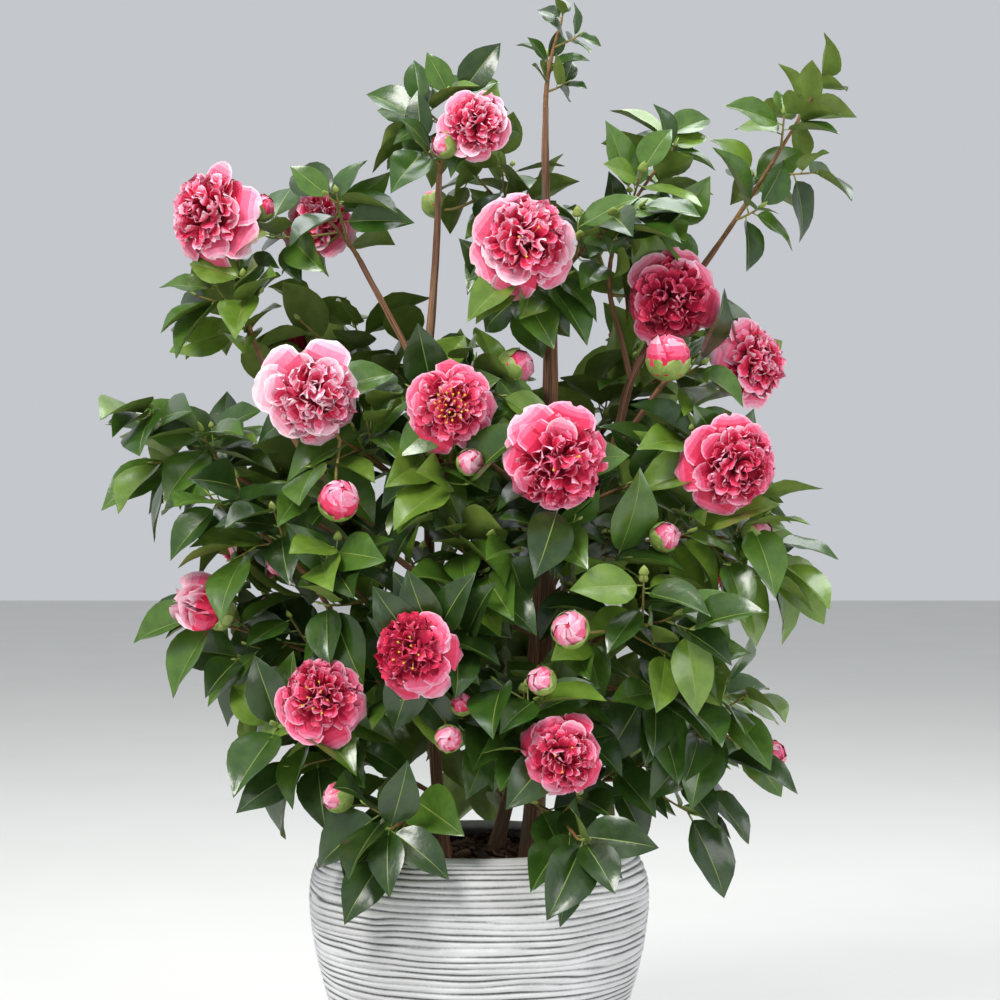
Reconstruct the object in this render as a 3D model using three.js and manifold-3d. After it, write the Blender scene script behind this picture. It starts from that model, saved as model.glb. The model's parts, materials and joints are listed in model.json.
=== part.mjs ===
// A camellia shrub in bloom, growing in a round ribbed pot. Millimetres, +Z up. The origin is the
// middle of the pot's flat underside, and the side that shows most blooms looks along -Y.
import * as THREE from 'three';
import { mergeVertices } from 'three/addons/utils/BufferGeometryUtils.js';
import Module from 'manifold-3d';

// Pot and soil
const POT = {
  radius: 180,        // at the widest
  height: 290,
  widestAt: 230,      // height of the widest ring
  mouth: 133,         // radius of the opening
  taperLength: 397,   // sets how fast the lower wall draws in
  taperPower: 1.68,
  shoulderPower: 2.3, // roundness of the shoulder, 2 is an ellipse
  wall: 10,
  lip: 7,             // depth of the lip's inner edge
  floor: 14,
};
const SOIL = { level: 272, inset: 0.5 }; // inset from the pot's wall
const CROWN_AXIS = new THREE.Vector2(15, 20);

// Clearances
const FIT = 0.3;     // between pieces that rest on each other
const ROOM = 0.4;    // that a limb keeps from what meets it
const CLEAR = 0.8;   // between the leaves and twigs of two masses
const SMOOTH = 0.2;  // how far the joined surface of a mass may move when it is simplified

// The rule of growth. Angles are in degrees, and a pair is the least and the most
const STEM = { thick: 5.8, thin: 3.6, steps: 4, arch: 14, ahead: 0.45 };
const STALK = { steps: 2, behind: 0.2, swing: 0.5, straighten: 0.4 };
const TWIG = {
  thick: 3.4, thin: 2.4, reach: [0.55, 1], splay: [50, 74], waver: 50,
  outward: 0.5, upward: 0.25, firstOnTip: 0.2, firstOnSide: 0.42, lastReach: 0.35, lastSplay: 7,
};
const LEAF = {
  length: [78, 108], width: [0.63, 0.69], thick: 0.06, widestAt: 0.42, sunk: 1,
  perTwig: 5, from: 0.42, to: 0.94, opens: [80, 46], waver: 30, droop: [0.3, 0.65], curl: [0.1, 0.22],
  outlook: 0.75, skyward: 0.6, unrest: 0.3,
};
const BLOOM_LEAF = { count: 3, from: 0.62, apart: 0.1, opens: 72, towardsBloom: 0.7, towardsSky: 0.5 };
const GOLDEN_ANGLE = 137.5;
const SPACE_SHARED = 0.42; // how far, as a share of its spread, a mass may reach past the halfway line
const FIRST_SEED = 1009;
const SEED_STEP = 7919;

// The upright stems: each goes through its places from the soil to its tip
const TRUNKS = [
  { name: 'leader_stem', foot: [55, 15], thick: 21, thin: 6, flare: 30,
    through: [[72, 12, 545], [76, 5, 755], [75, 0, 860], [70, 0, 975], [70, 0, 1062]] },
  { name: 'left_stem', foot: [-36, 0], thick: 15, thin: 6, flare: 22,
    through: [[-46, -5, 375], [-51, 0, 545], [-55, 0, 755], [-46, 0, 900], [-42, 0, 990]] },
  { name: 'back_stem', foot: [15, 62], thick: 16, thin: 6, flare: 23,
    through: [[52, 92, 420], [68, 106, 640], [74, 112, 850]] },
];

// The main boughs: each leaves its carrier at a height, and tapers to its tip
const BOUGHS = [
  { name: 'right_bough', on: 'leader_stem', height: 552, thick: 12, thin: 6.4,
    through: [[135, 10, 680], [162, 0, 780], [208, 0, 855], [250, 0, 915]] },
  { name: 'right_arm_bough', on: 'right_bough', height: 690, thick: 8, thin: 5.6,
    through: [[163, -6, 728], [188, -18, 765]] },
  { name: 'high_right_bough', on: 'right_bough', height: 775, thick: 7, thin: 5.4,
    through: [[150, -14, 815], [140, -22, 850]] },
  { name: 'upper_left_bough', on: 'left_stem', height: 745, thick: 9, thin: 5.6,
    through: [[-70, 0, 795], [-125, 0, 900]] },
  { name: 'left_high_bough', on: 'left_stem', height: 590, thick: 10, thin: 5.6,
    through: [[-130, -15, 640], [-195, -20, 715], [-230, -12, 800]] },
  { name: 'left_arm_bough', on: 'left_stem', height: 535, thick: 10, thin: 5.6,
    through: [[-155, 0, 612], [-235, -10, 662]] },
  { name: 'left_low_bough', on: 'left_stem', height: 395, thick: 9, thin: 5.6,
    through: [[-120, -60, 485], [-162, -70, 552]] },
  { name: 'right_mid_bough', on: 'leader_stem', height: 540, thick: 9, thin: 5.6,
    through: [[120, -25, 582], [160, -40, 600]] },
  { name: 'low_right_bough', on: 'leader_stem', height: 420, thick: 9, thin: 5.6,
    through: [[95, -40, 458], [140, -60, 455]] },
  { name: 'back_left_bough', on: 'back_stem', height: 500, thick: 9, thin: 5.6,
    through: [[-60, 125, 560], [-115, 135, 600]] },
  { name: 'back_right_bough', on: 'back_stem', height: 470, thick: 9, thin: 5.6,
    through: [[80, 125, 530], [135, 135, 580]] },
];

// The masses of foliage. Each has one stem, from its limb to `to`, and twigs that stand out by `spread`
const MASSES = [
  { name: 'leader_top', on: 'leader_stem', to: [86, 0, 1150], spread: 44, twigs: 4 },
  { name: 'right_leader', on: 'right_bough', to: [352, 15, 1075], spread: 56, twigs: 6 },
  { name: 'high_right', on: 'high_right_bough', to: [190, -20, 1000], spread: 66, twigs: 6 },
  { name: 'high_centre', on: 'leader_stem', height: 835, to: [48, -70, 880], spread: 66, twigs: 3 },
  { name: 'high_front', on: 'leader_stem', height: 868, to: [135, -84, 930], spread: 58, twigs: 4 },
  { name: 'upper_centre', on: 'left_stem', height: 715, to: [12, -64, 775], spread: 56, twigs: 4 },
  { name: 'high_left', on: 'left_stem', to: [-28, -8, 1052], spread: 66, twigs: 5 },
  { name: 'upper_left', on: 'upper_left_bough', to: [-176, -10, 958], spread: 86, twigs: 6 },
  { name: 'left_high', on: 'left_high_bough', to: [-258, -16, 905], spread: 64, twigs: 6 },
  { name: 'left_arm', on: 'left_arm_bough', to: [-330, -25, 725], spread: 66, twigs: 5 },
  { name: 'left_low_arm', on: 'left_low_bough', to: [-256, -80, 638], spread: 70, twigs: 5 },
  { name: 'left_side', on: 'left_stem', height: 430, to: [-262, -58, 520], spread: 76, twigs: 5 },
  { name: 'low_left', on: 'left_stem', height: 335, to: [-186, -92, 408], spread: 84, twigs: 6 },
  { name: 'middle_left', on: 'left_stem', height: 640, to: [-140, -112, 712], spread: 72, twigs: 4 },
  { name: 'centre_left', on: 'left_stem', height: 610, to: [-28, -112, 690], spread: 70, twigs: 4 },
  { name: 'middle', on: 'left_stem', height: 500, to: [6, -122, 600], spread: 74, twigs: 6 },
  { name: 'middle_low_left', on: 'left_stem', height: 460, to: [-140, -125, 575], spread: 70, twigs: 5 },
  { name: 'middle_right', on: 'leader_stem', height: 500, to: [135, -100, 612], spread: 70, twigs: 4 },
  { name: 'centre', on: 'leader_stem', height: 585, to: [78, -142, 640], spread: 72, twigs: 5 },
  { name: 'right_arm', on: 'right_arm_bough', to: [262, -12, 782], spread: 62, twigs: 4 },
  { name: 'right_front', on: 'leader_stem', height: 625, to: [236, -84, 690], spread: 68, twigs: 5 },
  { name: 'right_mid', on: 'right_mid_bough', to: [282, -58, 606], spread: 70, twigs: 5 },
  { name: 'low_middle', on: 'leader_stem', height: 470, to: [182, -150, 530], spread: 68, twigs: 5 },
  { name: 'low_right', on: 'low_right_bough', to: [258, -58, 405], spread: 78, twigs: 5 },
  { name: 'low_front', on: 'left_stem', height: 405, to: [-40, -150, 505], spread: 76, twigs: 6 },
  { name: 'low_centre', on: 'leader_stem', height: 380, to: [50, -140, 430], spread: 76, twigs: 5 },
  { name: 'skirt_left', on: 'left_stem', height: 312, to: [-85, -160, 325], spread: 70, twigs: 5 },
  { name: 'skirt_front', on: 'leader_stem', height: 322, to: [98, -196, 320], spread: 66, twigs: 5 },
  { name: 'skirt_right', on: 'leader_stem', height: 345, to: [216, -45, 350], spread: 72, twigs: 5 },
  { name: 'back_top', on: 'back_stem', to: [10, 105, 985], spread: 84, twigs: 6 },
  { name: 'back_left_high', on: 'back_stem', height: 640, to: [-172, 105, 820], spread: 84, twigs: 6 },
  { name: 'back_right_high', on: 'back_stem', height: 620, to: [190, 110, 790], spread: 84, twigs: 6 },
  { name: 'back_left', on: 'back_left_bough', to: [-228, 92, 640], spread: 84, twigs: 6 },
  { name: 'back_right', on: 'back_right_bough', to: [246, 92, 610], spread: 84, twigs: 6 },
  { name: 'back_middle', on: 'back_stem', height: 560, to: [10, 222, 690], spread: 88, twigs: 6 },
  { name: 'back_left_low', on: 'back_stem', height: 390, to: [-200, 110, 440], spread: 84, twigs: 6 },
  { name: 'back_right_low', on: 'back_stem', height: 370, to: [212, 110, 430], spread: 84, twigs: 6 },
  { name: 'back_low', on: 'back_stem', height: 360, to: [15, 232, 455], spread: 88, twigs: 6 },
  { name: 'back_skirt', on: 'back_stem', height: 312, to: [10, 180, 325], spread: 72, twigs: 5 },
];

// Blooms: the middle of each, its width, and the way it faces, turned right of -Y and raised
const BLOOMS = [
  { on: 'left_high', at: [-282, -42, 947], width: 114, turn: -35, rise: 4 },
  { on: 'upper_left', at: [-172, 24, 944], width: 84, turn: -20, rise: 10 },
  { on: 'high_left', at: [-3, -60, 1037], width: 80, turn: -8, rise: 8 },
  { on: 'high_centre', at: [48, -110, 913], width: 114, turn: 4, rise: 4 },
  { on: 'high_right', at: [196, -58, 857], width: 104, turn: -12, rise: -4 },
  { on: 'right_arm', at: [292, -12, 794], width: 96, turn: 105, rise: 5 },
  { on: 'right_front', at: [259, -122, 685], width: 105, turn: 14, rise: -4 },
  { on: 'centre', at: [81, -190, 689], width: 114, turn: 8, rise: -10 },
  { on: 'centre_left', at: [-27, -152, 745], width: 97, turn: 0, rise: 3 },
  { on: 'middle_left', at: [-167, -134, 756], width: 112, turn: 6, rise: -5 },
  { on: 'low_front', at: [-65, -202, 504], width: 94, turn: -12, rise: 5 },
  { on: 'low_left', at: [-158, -156, 454], width: 97, turn: -8, rise: 8 },
  { on: 'low_centre', at: [84, -192, 402], width: 87, turn: 0, rise: 5 },
  { on: 'back_top', at: [40, 176, 940], width: 92, turn: 168, rise: 10 },
  { on: 'back_left_high', at: [-205, 150, 800], width: 104, turn: -140, rise: 5 },
  { on: 'back_right_high', at: [185, 180, 815], width: 98, turn: 155, rise: 4 },
  { on: 'back_middle', at: [-35, 262, 690], width: 110, turn: -172, rise: 0 },
  { on: 'back_left', at: [-262, 140, 605], width: 96, turn: -128, rise: 0 },
  { on: 'back_right', at: [262, 150, 590], width: 106, turn: 130, rise: 0 },
  { on: 'back_low', at: [60, 262, 480], width: 98, turn: 172, rise: 4 },
  { on: 'back_left_low', at: [-205, 180, 440], width: 90, turn: -145, rise: 6 },
];

// Buds, from green and closed to nearly open: the middle of each, its width and the way it points
const BUDS = [
  { on: 'left_side', at: [-273, -72, 536], width: 58, turn: -75, rise: 25 },
  { on: 'right_arm', at: [193, -98, 796], width: 37, turn: 0, rise: 80 },
  { on: 'high_left', at: [-35, -50, 1017], width: 25, turn: -60, rise: 10 },
  { on: 'left_high', at: [-228, -12, 955], width: 26, turn: 60, rise: 40 },
  { on: 'upper_centre', at: [38, -62, 788], width: 34, turn: 75, rise: 15 },
  { on: 'centre_left', at: [-8, -152, 690], width: 25, turn: 10, rise: 10 },
  { on: 'middle_left', at: [-138, -170, 652], width: 37, turn: 20, rise: 35 },
  { on: 'left_low_arm', at: [-203, -96, 588], width: 27, turn: -60, rise: -20 },
  { on: 'low_middle', at: [91, -200, 526], width: 34, turn: -10, rise: 15 },
  { on: 'low_centre', at: [63, -200, 476], width: 26, turn: -30, rise: 25 },
  { on: 'low_front', at: [-16, -165, 449], width: 21, turn: 0, rise: 30 },
  { on: 'low_front', at: [-29, -182, 417], width: 25, turn: 5, rise: 5 },
  { on: 'low_left', at: [-141, -140, 353], width: 28, turn: -60, rise: 15 },
  { on: 'right_mid', at: [189, -112, 614], width: 28, turn: 40, rise: 20 },
  { on: 'right_mid', at: [286, -74, 617], width: 28, turn: 70, rise: 15 },
  { on: 'low_right', at: [301, -66, 387], width: 29, turn: 40, rise: -5 },
  { on: 'back_top', at: [-50, 150, 975], width: 28, turn: -150, rise: 45 },
  { on: 'back_right', at: [225, 175, 660], width: 30, turn: 140, rise: 30 },
  { on: 'back_middle', at: [75, 240, 740], width: 27, turn: 165, rise: 40 },
  { on: 'back_low', at: [-60, 265, 500], width: 30, turn: -170, rise: 20 },
  { on: 'back_right_low', at: [235, 180, 440], width: 32, turn: 140, rise: 25 },
];

const wasm = await Module();
wasm.setup();

const UP = new THREE.Vector3(0, 0, 1);
const radians = THREE.MathUtils.degToRad;
const between = ([least, most], share) => least + (most - least) * share;
const vec = (place) => new THREE.Vector3(...place);
const counted = (count) => Array.from({ length: count }, (_, i) => i);
const steadily = (low, high, steps) => counted(steps + 1).map((i) => between([low, high], i / steps));

// A seeded stream of numbers from 0 to 1
function draws(seed) {
  let state = seed;
  return () => {
    state = (state * 16807) % 2147483647;
    return state / 2147483647;
  };
}

// A level direction square to `ahead`
function levelAcross(ahead) {
  return Math.hypot(ahead.x, ahead.y) < 0.1 * ahead.length()
    ? vec([1, 0, 0])
    : new THREE.Vector3().crossVectors(ahead, UP).normalize();
}

// A direction square to `ahead`, turned round it by `turn` degrees from the side given
function sideways(ahead, turn, side = levelAcross(ahead)) {
  const across = side.clone().addScaledVector(ahead, -side.dot(ahead)).normalize();
  const other = new THREE.Vector3().crossVectors(across, ahead);
  return across.multiplyScalar(Math.cos(radians(turn))).addScaledVector(other, Math.sin(radians(turn)));
}

// The level direction from the crown's axis to a place
function outward(place) {
  return new THREE.Vector3(place.x - CROWN_AXIS.x, place.y - CROWN_AXIS.y, 0).normalize();
}

// The direction that leaves face: outwards, but more to the front or back than to the sides, and up
function skyAndOutlook(place) {
  const way = outward(place);
  const outlook = new THREE.Vector3(0.45 * way.x, way.y + 0.5 * Math.sign(way.y), 0).normalize();
  return outlook.multiplyScalar(LEAF.outlook).addScaledVector(UP, LEAF.skyward);
}

// The direction that is turned right of -Y and raised, in degrees
function facing({ turn, rise }) {
  const [t, r] = [radians(turn), radians(rise)];
  return vec([Math.sin(t) * Math.cos(r), -Math.cos(t) * Math.cos(r), Math.sin(r)]);
}

// Solids and meshes
function manifoldOf(geometry) {
  const bare = geometry.clone();
  bare.deleteAttribute('normal');
  bare.deleteAttribute('uv');
  const merged = mergeVertices(bare, 1e-4);
  const solid = (corners) => new wasm.Manifold(new wasm.Mesh({
    numProp: 3,
    vertProperties: new Float32Array(merged.attributes.position.array),
    triVerts: new Uint32Array(corners),
  }));
  const corners = merged.index.array;
  const made = solid(corners);
  return made.volume() > 0 ? made : solid([...corners].reverse());
}

function solidFrom(places, triangles) {
  const geometry = new THREE.BufferGeometry();
  geometry.setAttribute('position', new THREE.Float32BufferAttribute(places.flatMap((p) => p.toArray()), 3));
  geometry.setIndex(triangles);
  return manifoldOf(geometry);
}

function meshOf(name, solid, material) {
  const { vertProperties, triVerts } = solid.getMesh();
  const shared = new THREE.BufferGeometry();
  shared.setAttribute('position', new THREE.BufferAttribute(vertProperties, 3));
  shared.setIndex(new THREE.BufferAttribute(triVerts, 1));
  const geometry = shared.toNonIndexed();
  geometry.computeVertexNormals();
  const mesh = new THREE.Mesh(geometry, material);
  mesh.name = name;
  return mesh;
}

function largest(solid) {
  return solid.decompose().sort((a, b) => b.volume() - a.volume())[0];
}

// A tapering limb along a curve: a cylinder whose rings are laid across the curve
function limbSolid(curve, radiusAt, sides, steps, longer = 0) {
  const tube = new THREE.CylinderGeometry(1, 1, 1, sides, steps);
  const places = tube.attributes.position;
  const side = levelAcross(curve.getPoint(1).sub(curve.getPoint(0)));
  for (let i = 0; i < places.count; i += 1) {
    const along = THREE.MathUtils.clamp(places.getY(i) + 0.5, 0, 1);
    const ahead = curve.getTangent(along);
    const across = sideways(ahead, 0, side).multiplyScalar(places.getX(i))
      .addScaledVector(sideways(ahead, 90, side), places.getZ(i));
    const middle = curve.getPoint(along).addScaledVector(ahead, along === 1 ? longer : 0);
    places.setXYZ(i, ...middle.addScaledVector(across, radiusAt(along)).toArray());
  }
  return manifoldOf(tube);
}

// The straight pieces that a solid along a curve is made of, so that what grows on it starts inside it
function straightened(curve, steps) {
  const joints = curve.getPoints(steps);
  const pieceAt = (share) => Math.min(steps - 1, Math.floor(share * steps));
  return {
    getPoint(share) {
      const piece = pieceAt(share);
      return joints[piece].clone().lerp(joints[piece + 1], share * steps - piece);
    },
    getTangent(share) {
      const piece = pieceAt(share);
      return joints[piece + 1].clone().sub(joints[piece]).normalize();
    },
  };
}

const tapering = ({ thick, thin }) => (share) => between([thick, thin], share) / 2;

// Pot: a turned profile that swells to its widest ring and closes over a rounded shoulder
const POT_SIDES = 36;
const POT_RINGS = { below: 5, inside: 4 };
const SHOULDER_RINGS = [0, 0.3, 0.55, 0.76, 0.9, 0.98]; // shares of the height from the widest ring to the top

function potRadius(z) {
  if (z < POT.widestAt) {
    return POT.radius * (1 - ((POT.widestAt - z) / POT.taperLength) ** POT.taperPower);
  }
  const share = (z - POT.widestAt) / (POT.height - POT.widestAt);
  const swell = (1 - share ** POT.shoulderPower) ** (1 / POT.shoulderPower);
  return between([POT.mouth, POT.radius], swell);
}

function insideProfile() {
  const rings = [...steadily(POT.floor, SOIL.level, POT_RINGS.inside), POT.height - 2 * POT.lip];
  return rings.map((z) => [potRadius(z) - POT.wall, z]);
}

function turnedSolid(profile) {
  const lathe = new THREE.LatheGeometry(profile.map((place) => new THREE.Vector2(...place)), POT_SIDES);
  return manifoldOf(lathe.rotateX(Math.PI / 2));
}

function pot() {
  const outside = [
    ...steadily(0, POT.widestAt, POT_RINGS.below).slice(0, -1),
    ...SHOULDER_RINGS.map((share) => between([POT.widestAt, POT.height], share)),
  ].map((z) => [potRadius(z), z]);
  const lip = [[POT.mouth, POT.height], [POT.mouth, POT.height - POT.lip]];
  return turnedSolid([[0, 0], ...outside, ...lip, ...insideProfile().toReversed(), [0, POT.floor]]);
}

function soil() {
  const bottom = POT.floor + FIT;
  const side = insideProfile().slice(0, -1).map(([r, z]) => [r - SOIL.inset, Math.max(z, bottom)]);
  return turnedSolid([[0, bottom], ...side, [0, SOIL.level]]);
}

// Limbs: a trunk starts on the soil with a flare, and a bough starts on the surface of its carrier
const TRUNK_SHAPE = { sides: 7, stepsEach: 3, buried: 12, flareFades: 26 };
const BOUGH_SHAPE = { sides: 5, stepsEach: 2 };

function shareAtHeight(curve, height) {
  let [low, high] = [0, 1];
  for (let i = 0; i < 30; i += 1) {
    const middle = (low + high) / 2;
    if (curve.getPoint(middle).z < height) low = middle;
    else high = middle;
  }
  return low;
}

function limbThrough(first, limb, radiusAt, shape) {
  const curve = new THREE.CatmullRomCurve3([first, ...limb.through.map(vec)], false, 'catmullrom', 0.5);
  const steps = shape.stepsEach * limb.through.length;
  const roomy = (share) => radiusAt(share) + ROOM;
  return {
    curve,
    solid: limbSolid(curve, radiusAt, shape.sides, steps),
    room: limbSolid(curve, roomy, shape.sides, steps, ROOM),
  };
}

function makeTrunk(trunk) {
  const flare = (share) => (trunk.flare - trunk.thick) * Math.exp(-share * TRUNK_SHAPE.flareFades);
  const radiusAt = (share) => (between([trunk.thick, trunk.thin], share) + flare(share)) / 2;
  const foot = vec([...trunk.foot, SOIL.level - TRUNK_SHAPE.buried]);
  const limb = limbThrough(foot, trunk, radiusAt, TRUNK_SHAPE);
  return { ...limb, solid: limb.solid.trimByPlane([0, 0, 1], SOIL.level + FIT) };
}

function makeBough(bough, carrier) {
  const first = carrier.curve.getPoint(shareAtHeight(carrier.curve, bough.height));
  const limb = limbThrough(first, bough, tapering(bough), BOUGH_SHAPE);
  return { ...limb, solid: largest(limb.solid.subtract(carrier.room)) };
}

// A mass's stem starts on its limb: at the limb's tip and in line with it, or on its side at a height
function stemOf(mass, limb) {
  const share = mass.height ? shareAtHeight(limb.curve, mass.height) : 1;
  const root = limb.curve.getPoint(share);
  const tip = vec(mass.to);
  const bend = mass.height
    ? root.clone().lerp(tip, 0.5).addScaledVector(UP, STEM.arch)
    : root.clone().addScaledVector(limb.curve.getTangent(1), STEM.ahead * root.distanceTo(tip));
  return straightened(new THREE.QuadraticBezierCurve3(root, bend, tip), STEM.steps);
}

// The twigs of a mass turn round its stem by the golden angle, and lean outwards and up
function twigsOf(mass, stem, draw) {
  const first = mass.height ? TWIG.firstOnSide : TWIG.firstOnTip;
  return steadily(first, 1, mass.twigs - 1).map((share, i) => {
    const last = i === mass.twigs - 1;
    const root = stem.getPoint(share);
    const ahead = stem.getTangent(share);
    const turn = GOLDEN_ANGLE * i + TWIG.waver * (draw() - 0.5);
    const splay = radians(last ? TWIG.lastSplay : between(TWIG.splay, draw()));
    const way = ahead.clone().multiplyScalar(Math.cos(splay))
      .addScaledVector(sideways(ahead, turn), Math.sin(splay))
      .addScaledVector(outward(root), last ? 0 : TWIG.outward)
      .addScaledVector(UP, TWIG.upward)
      .normalize();
    const reach = mass.spread * (last ? TWIG.lastReach : between(TWIG.reach, draw()));
    const tip = root.clone().addScaledVector(way, reach);
    return { curve: new THREE.LineCurve3(root, tip), turn: 360 * draw() };
  });
}

// A leaf opens away from its twig, droops, and faces the sky and the way that leaves turn to
function leafOn(curve, share, turn, opens, draw, face) {
  const root = curve.getPoint(share);
  const ahead = curve.getTangent(share);
  const along = ahead.clone().multiplyScalar(Math.cos(radians(opens)))
    .addScaledVector(sideways(ahead, turn), Math.sin(radians(opens)))
    .addScaledVector(UP, -between(LEAF.droop, draw()))
    .normalize();
  face.addScaledVector(sideways(along, 360 * draw()), LEAF.unrest);
  face.addScaledVector(along, -face.dot(along)).normalize();
  const length = between(LEAF.length, draw());
  const width = length * between(LEAF.width, draw());
  return { root, along, face, length, width, curl: between(LEAF.curl, draw()) };
}

function leavesOf(twig, draw) {
  return steadily(0, 1, LEAF.perTwig - 1).map((part, i) => {
    const share = between([LEAF.from, LEAF.to], part);
    const turn = twig.turn + GOLDEN_ANGLE * i + LEAF.waver * (draw() - 0.5);
    const face = skyAndOutlook(twig.curve.getPoint(share));
    return leafOn(twig.curve, share, turn, between(LEAF.opens, part), draw, face);
  });
}

// The place on a leaf at a share of its length and of its half width, raised off its blade
function leafPlace(leaf, along, across, lift = 0) {
  const aside = new THREE.Vector3().crossVectors(leaf.face, leaf.along);
  return leaf.root.clone()
    .addScaledVector(leaf.along, along * leaf.length)
    .addScaledVector(aside, (across * leaf.width) / 2)
    .addScaledVector(leaf.face, lift - leaf.curl * leaf.length * along * along);
}

// A leaf's blade: flat beneath, with a low ridge along its middle, and its root point sunk in its twig
function leafSolid(leaf) {
  const places = [
    leafPlace(leaf, -LEAF.sunk / leaf.length, 0),
    leafPlace(leaf, LEAF.widestAt, 1),
    leafPlace(leaf, LEAF.widestAt, 0, LEAF.thick * leaf.length),
    leafPlace(leaf, LEAF.widestAt, -1),
    leafPlace(leaf, 1, 0),
  ];
  return solidFrom(places, [0, 2, 1, 0, 3, 2, 0, 1, 3, 4, 1, 2, 4, 2, 3, 4, 3, 1]);
}

// A bloom: a saucer of five outer petals under the dome of its many inner ones. Its two rings have
// a place along its axis and the radius of a petal and of the notch beside it, as shares of its width
const BLOOM = { back: -0.3, front: 0.26, corners: 10, rings: [[-0.02, 0.5, 0.43], [0.12, 0.36, 0.34]] };
const BUD = { sides: 6, rings: 3, longer: 1.15 };

function bloomSolid({ at, width, ...way }) {
  const ahead = facing(way);
  const onAxis = (along) => vec(at).addScaledVector(ahead, along * width);
  const around = counted(BLOOM.corners);
  const rings = BLOOM.rings.flatMap(([along, petal, notch]) => around.map((i) => (
    onAxis(along).addScaledVector(sideways(ahead, (360 / BLOOM.corners) * i), (i % 2 ? notch : petal) * width))));
  const places = [onAxis(BLOOM.back), ...rings, onAxis(BLOOM.front)];
  return solidFrom(places, around.flatMap((i) => {
    const [a, b] = [1 + i, 1 + ((i + 1) % BLOOM.corners)];
    const [c, d] = [a + BLOOM.corners, b + BLOOM.corners];
    return [0, b, a, a, b, d, a, d, c, c, d, places.length - 1];
  }));
}

function budSolid({ at, width, ...way }) {
  const ball = new THREE.SphereGeometry(width / 2, BUD.sides, BUD.rings).scale(1, BUD.longer, 1);
  ball.applyQuaternion(new THREE.Quaternion().setFromUnitVectors(vec([0, 1, 0]), facing(way)));
  return manifoldOf(ball.translate(...at));
}

// The stalk of a bloom or bud leaves the stem of its mass at the nearest place, and ends inside it
function stalkTo(flower, stem) {
  const ahead = facing(flower);
  const back = vec(flower.at).addScaledVector(ahead, -STALK.behind * flower.width);
  const [root] = steadily(0.1, 1, 18).map((share) => stem.getPoint(share))
    .sort((a, b) => a.distanceTo(back) - b.distanceTo(back));
  const bend = back.clone().addScaledVector(ahead, -STALK.swing * root.distanceTo(back));
  bend.lerp(root.clone().lerp(back, 0.5), STALK.straighten);
  return straightened(new THREE.QuadraticBezierCurve3(root, bend, back), STALK.steps);
}

function leavesBehind(bloom, stalk, draw) {
  const first = 360 * draw();
  return counted(BLOOM_LEAF.count).map((i) => {
    const share = BLOOM_LEAF.from + BLOOM_LEAF.apart * i;
    const face = skyAndOutlook(stalk.getPoint(share)).multiplyScalar(BLOOM_LEAF.towardsSky)
      .addScaledVector(facing(bloom), BLOOM_LEAF.towardsBloom);
    return leafOn(stalk, share, first + GOLDEN_ANGLE * i, BLOOM_LEAF.opens, draw, face);
  });
}

// A leaf may not lie in a bloom or in front of it
const VIEW = { from: -0.1, to: 1.4, radius: 0.5 }; // of a bloom's width

function hidesBloom(leaf) {
  const across = [-0.8, 0, 0.8];
  const places = [0.3, 0.6, 1].flatMap((along) => across.map((share) => leafPlace(leaf, along, share)));
  return BLOOMS.some((bloom) => places.some((place) => {
    const ahead = facing(bloom);
    const from = place.clone().sub(vec(bloom.at));
    const depth = from.dot(ahead);
    return depth > VIEW.from * bloom.width && depth < VIEW.to * bloom.width
      && from.addScaledVector(ahead, -depth).length() < VIEW.radius * bloom.width;
  }));
}

// The space of a mass is what lies nearer to its stem than to any other, measured in their spreads
function distanceToStem(place, plan) {
  return Math.min(...plan.samples.map((sample) => sample.distanceTo(place))) / plan.mass.spread;
}

function inOwnSpace(leaf, plan) {
  const corners = [[LEAF.widestAt, 1], [LEAF.widestAt, -1], [1, 0]];
  return corners.map((corner) => leafPlace(leaf, ...corner)).every((place) => {
    const own = distanceToStem(place, plan);
    return plans.every((other) => other === plan || own < distanceToStem(place, other) + SPACE_SHARED);
  });
}

// Pieces are kept clear of the limbs, the pot, the soil and the pieces of other masses
const kept = [];

function boxesMeet(a, b) {
  return [0, 1, 2].every((i) => a.min[i] - CLEAR < b.max[i] && b.min[i] - CLEAR < a.max[i]);
}

function keep(solid, owner) {
  kept.push({ solid, owner, box: solid.boundingBox() });
}

// Adds a piece to its mass unless something is in its way. A leaf names its carrier, the one piece
// that it may touch
function grow(plan, solid, carrier = null) {
  const owner = plan.mass.name;
  const box = solid.boundingBox();
  const inTheWay = kept.some((piece) => piece.solid !== carrier && (carrier || piece.owner !== owner)
    && boxesMeet(box, piece.box) && piece.solid.minGap(solid, CLEAR) < CLEAR);
  if (inTheWay) return null;
  plan.solids.push(solid);
  keep(solid, owner);
  return solid;
}

function cutFreeOfLimbs(solid) {
  const near = [...limbs.values()].filter((limb) => boxesMeet(solid.boundingBox(), limb.room.boundingBox()));
  return largest(near.reduce((left, limb) => left.subtract(limb.room), solid));
}

// Assembly
const potSolid = pot();
const soilSolid = soil();
const limbs = new Map();
TRUNKS.forEach((trunk) => limbs.set(trunk.name, makeTrunk(trunk)));
BOUGHS.forEach((bough) => limbs.set(bough.name, makeBough(bough, limbs.get(bough.on))));
keep(potSolid, 'pot');
keep(soilSolid, 'soil');
limbs.forEach((limb, name) => keep(limb.solid, name));

const plans = MASSES.map((mass, i) => {
  const draw = draws(FIRST_SEED + SEED_STEP * i);
  const stem = stemOf(mass, limbs.get(mass.on));
  const samples = steadily(mass.height ? 0.35 : 0, 1, 8).map((share) => stem.getPoint(share));
  return { mass, draw, stem, samples, twigs: twigsOf(mass, stem, draw), solids: [], leaves: [] };
});

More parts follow.
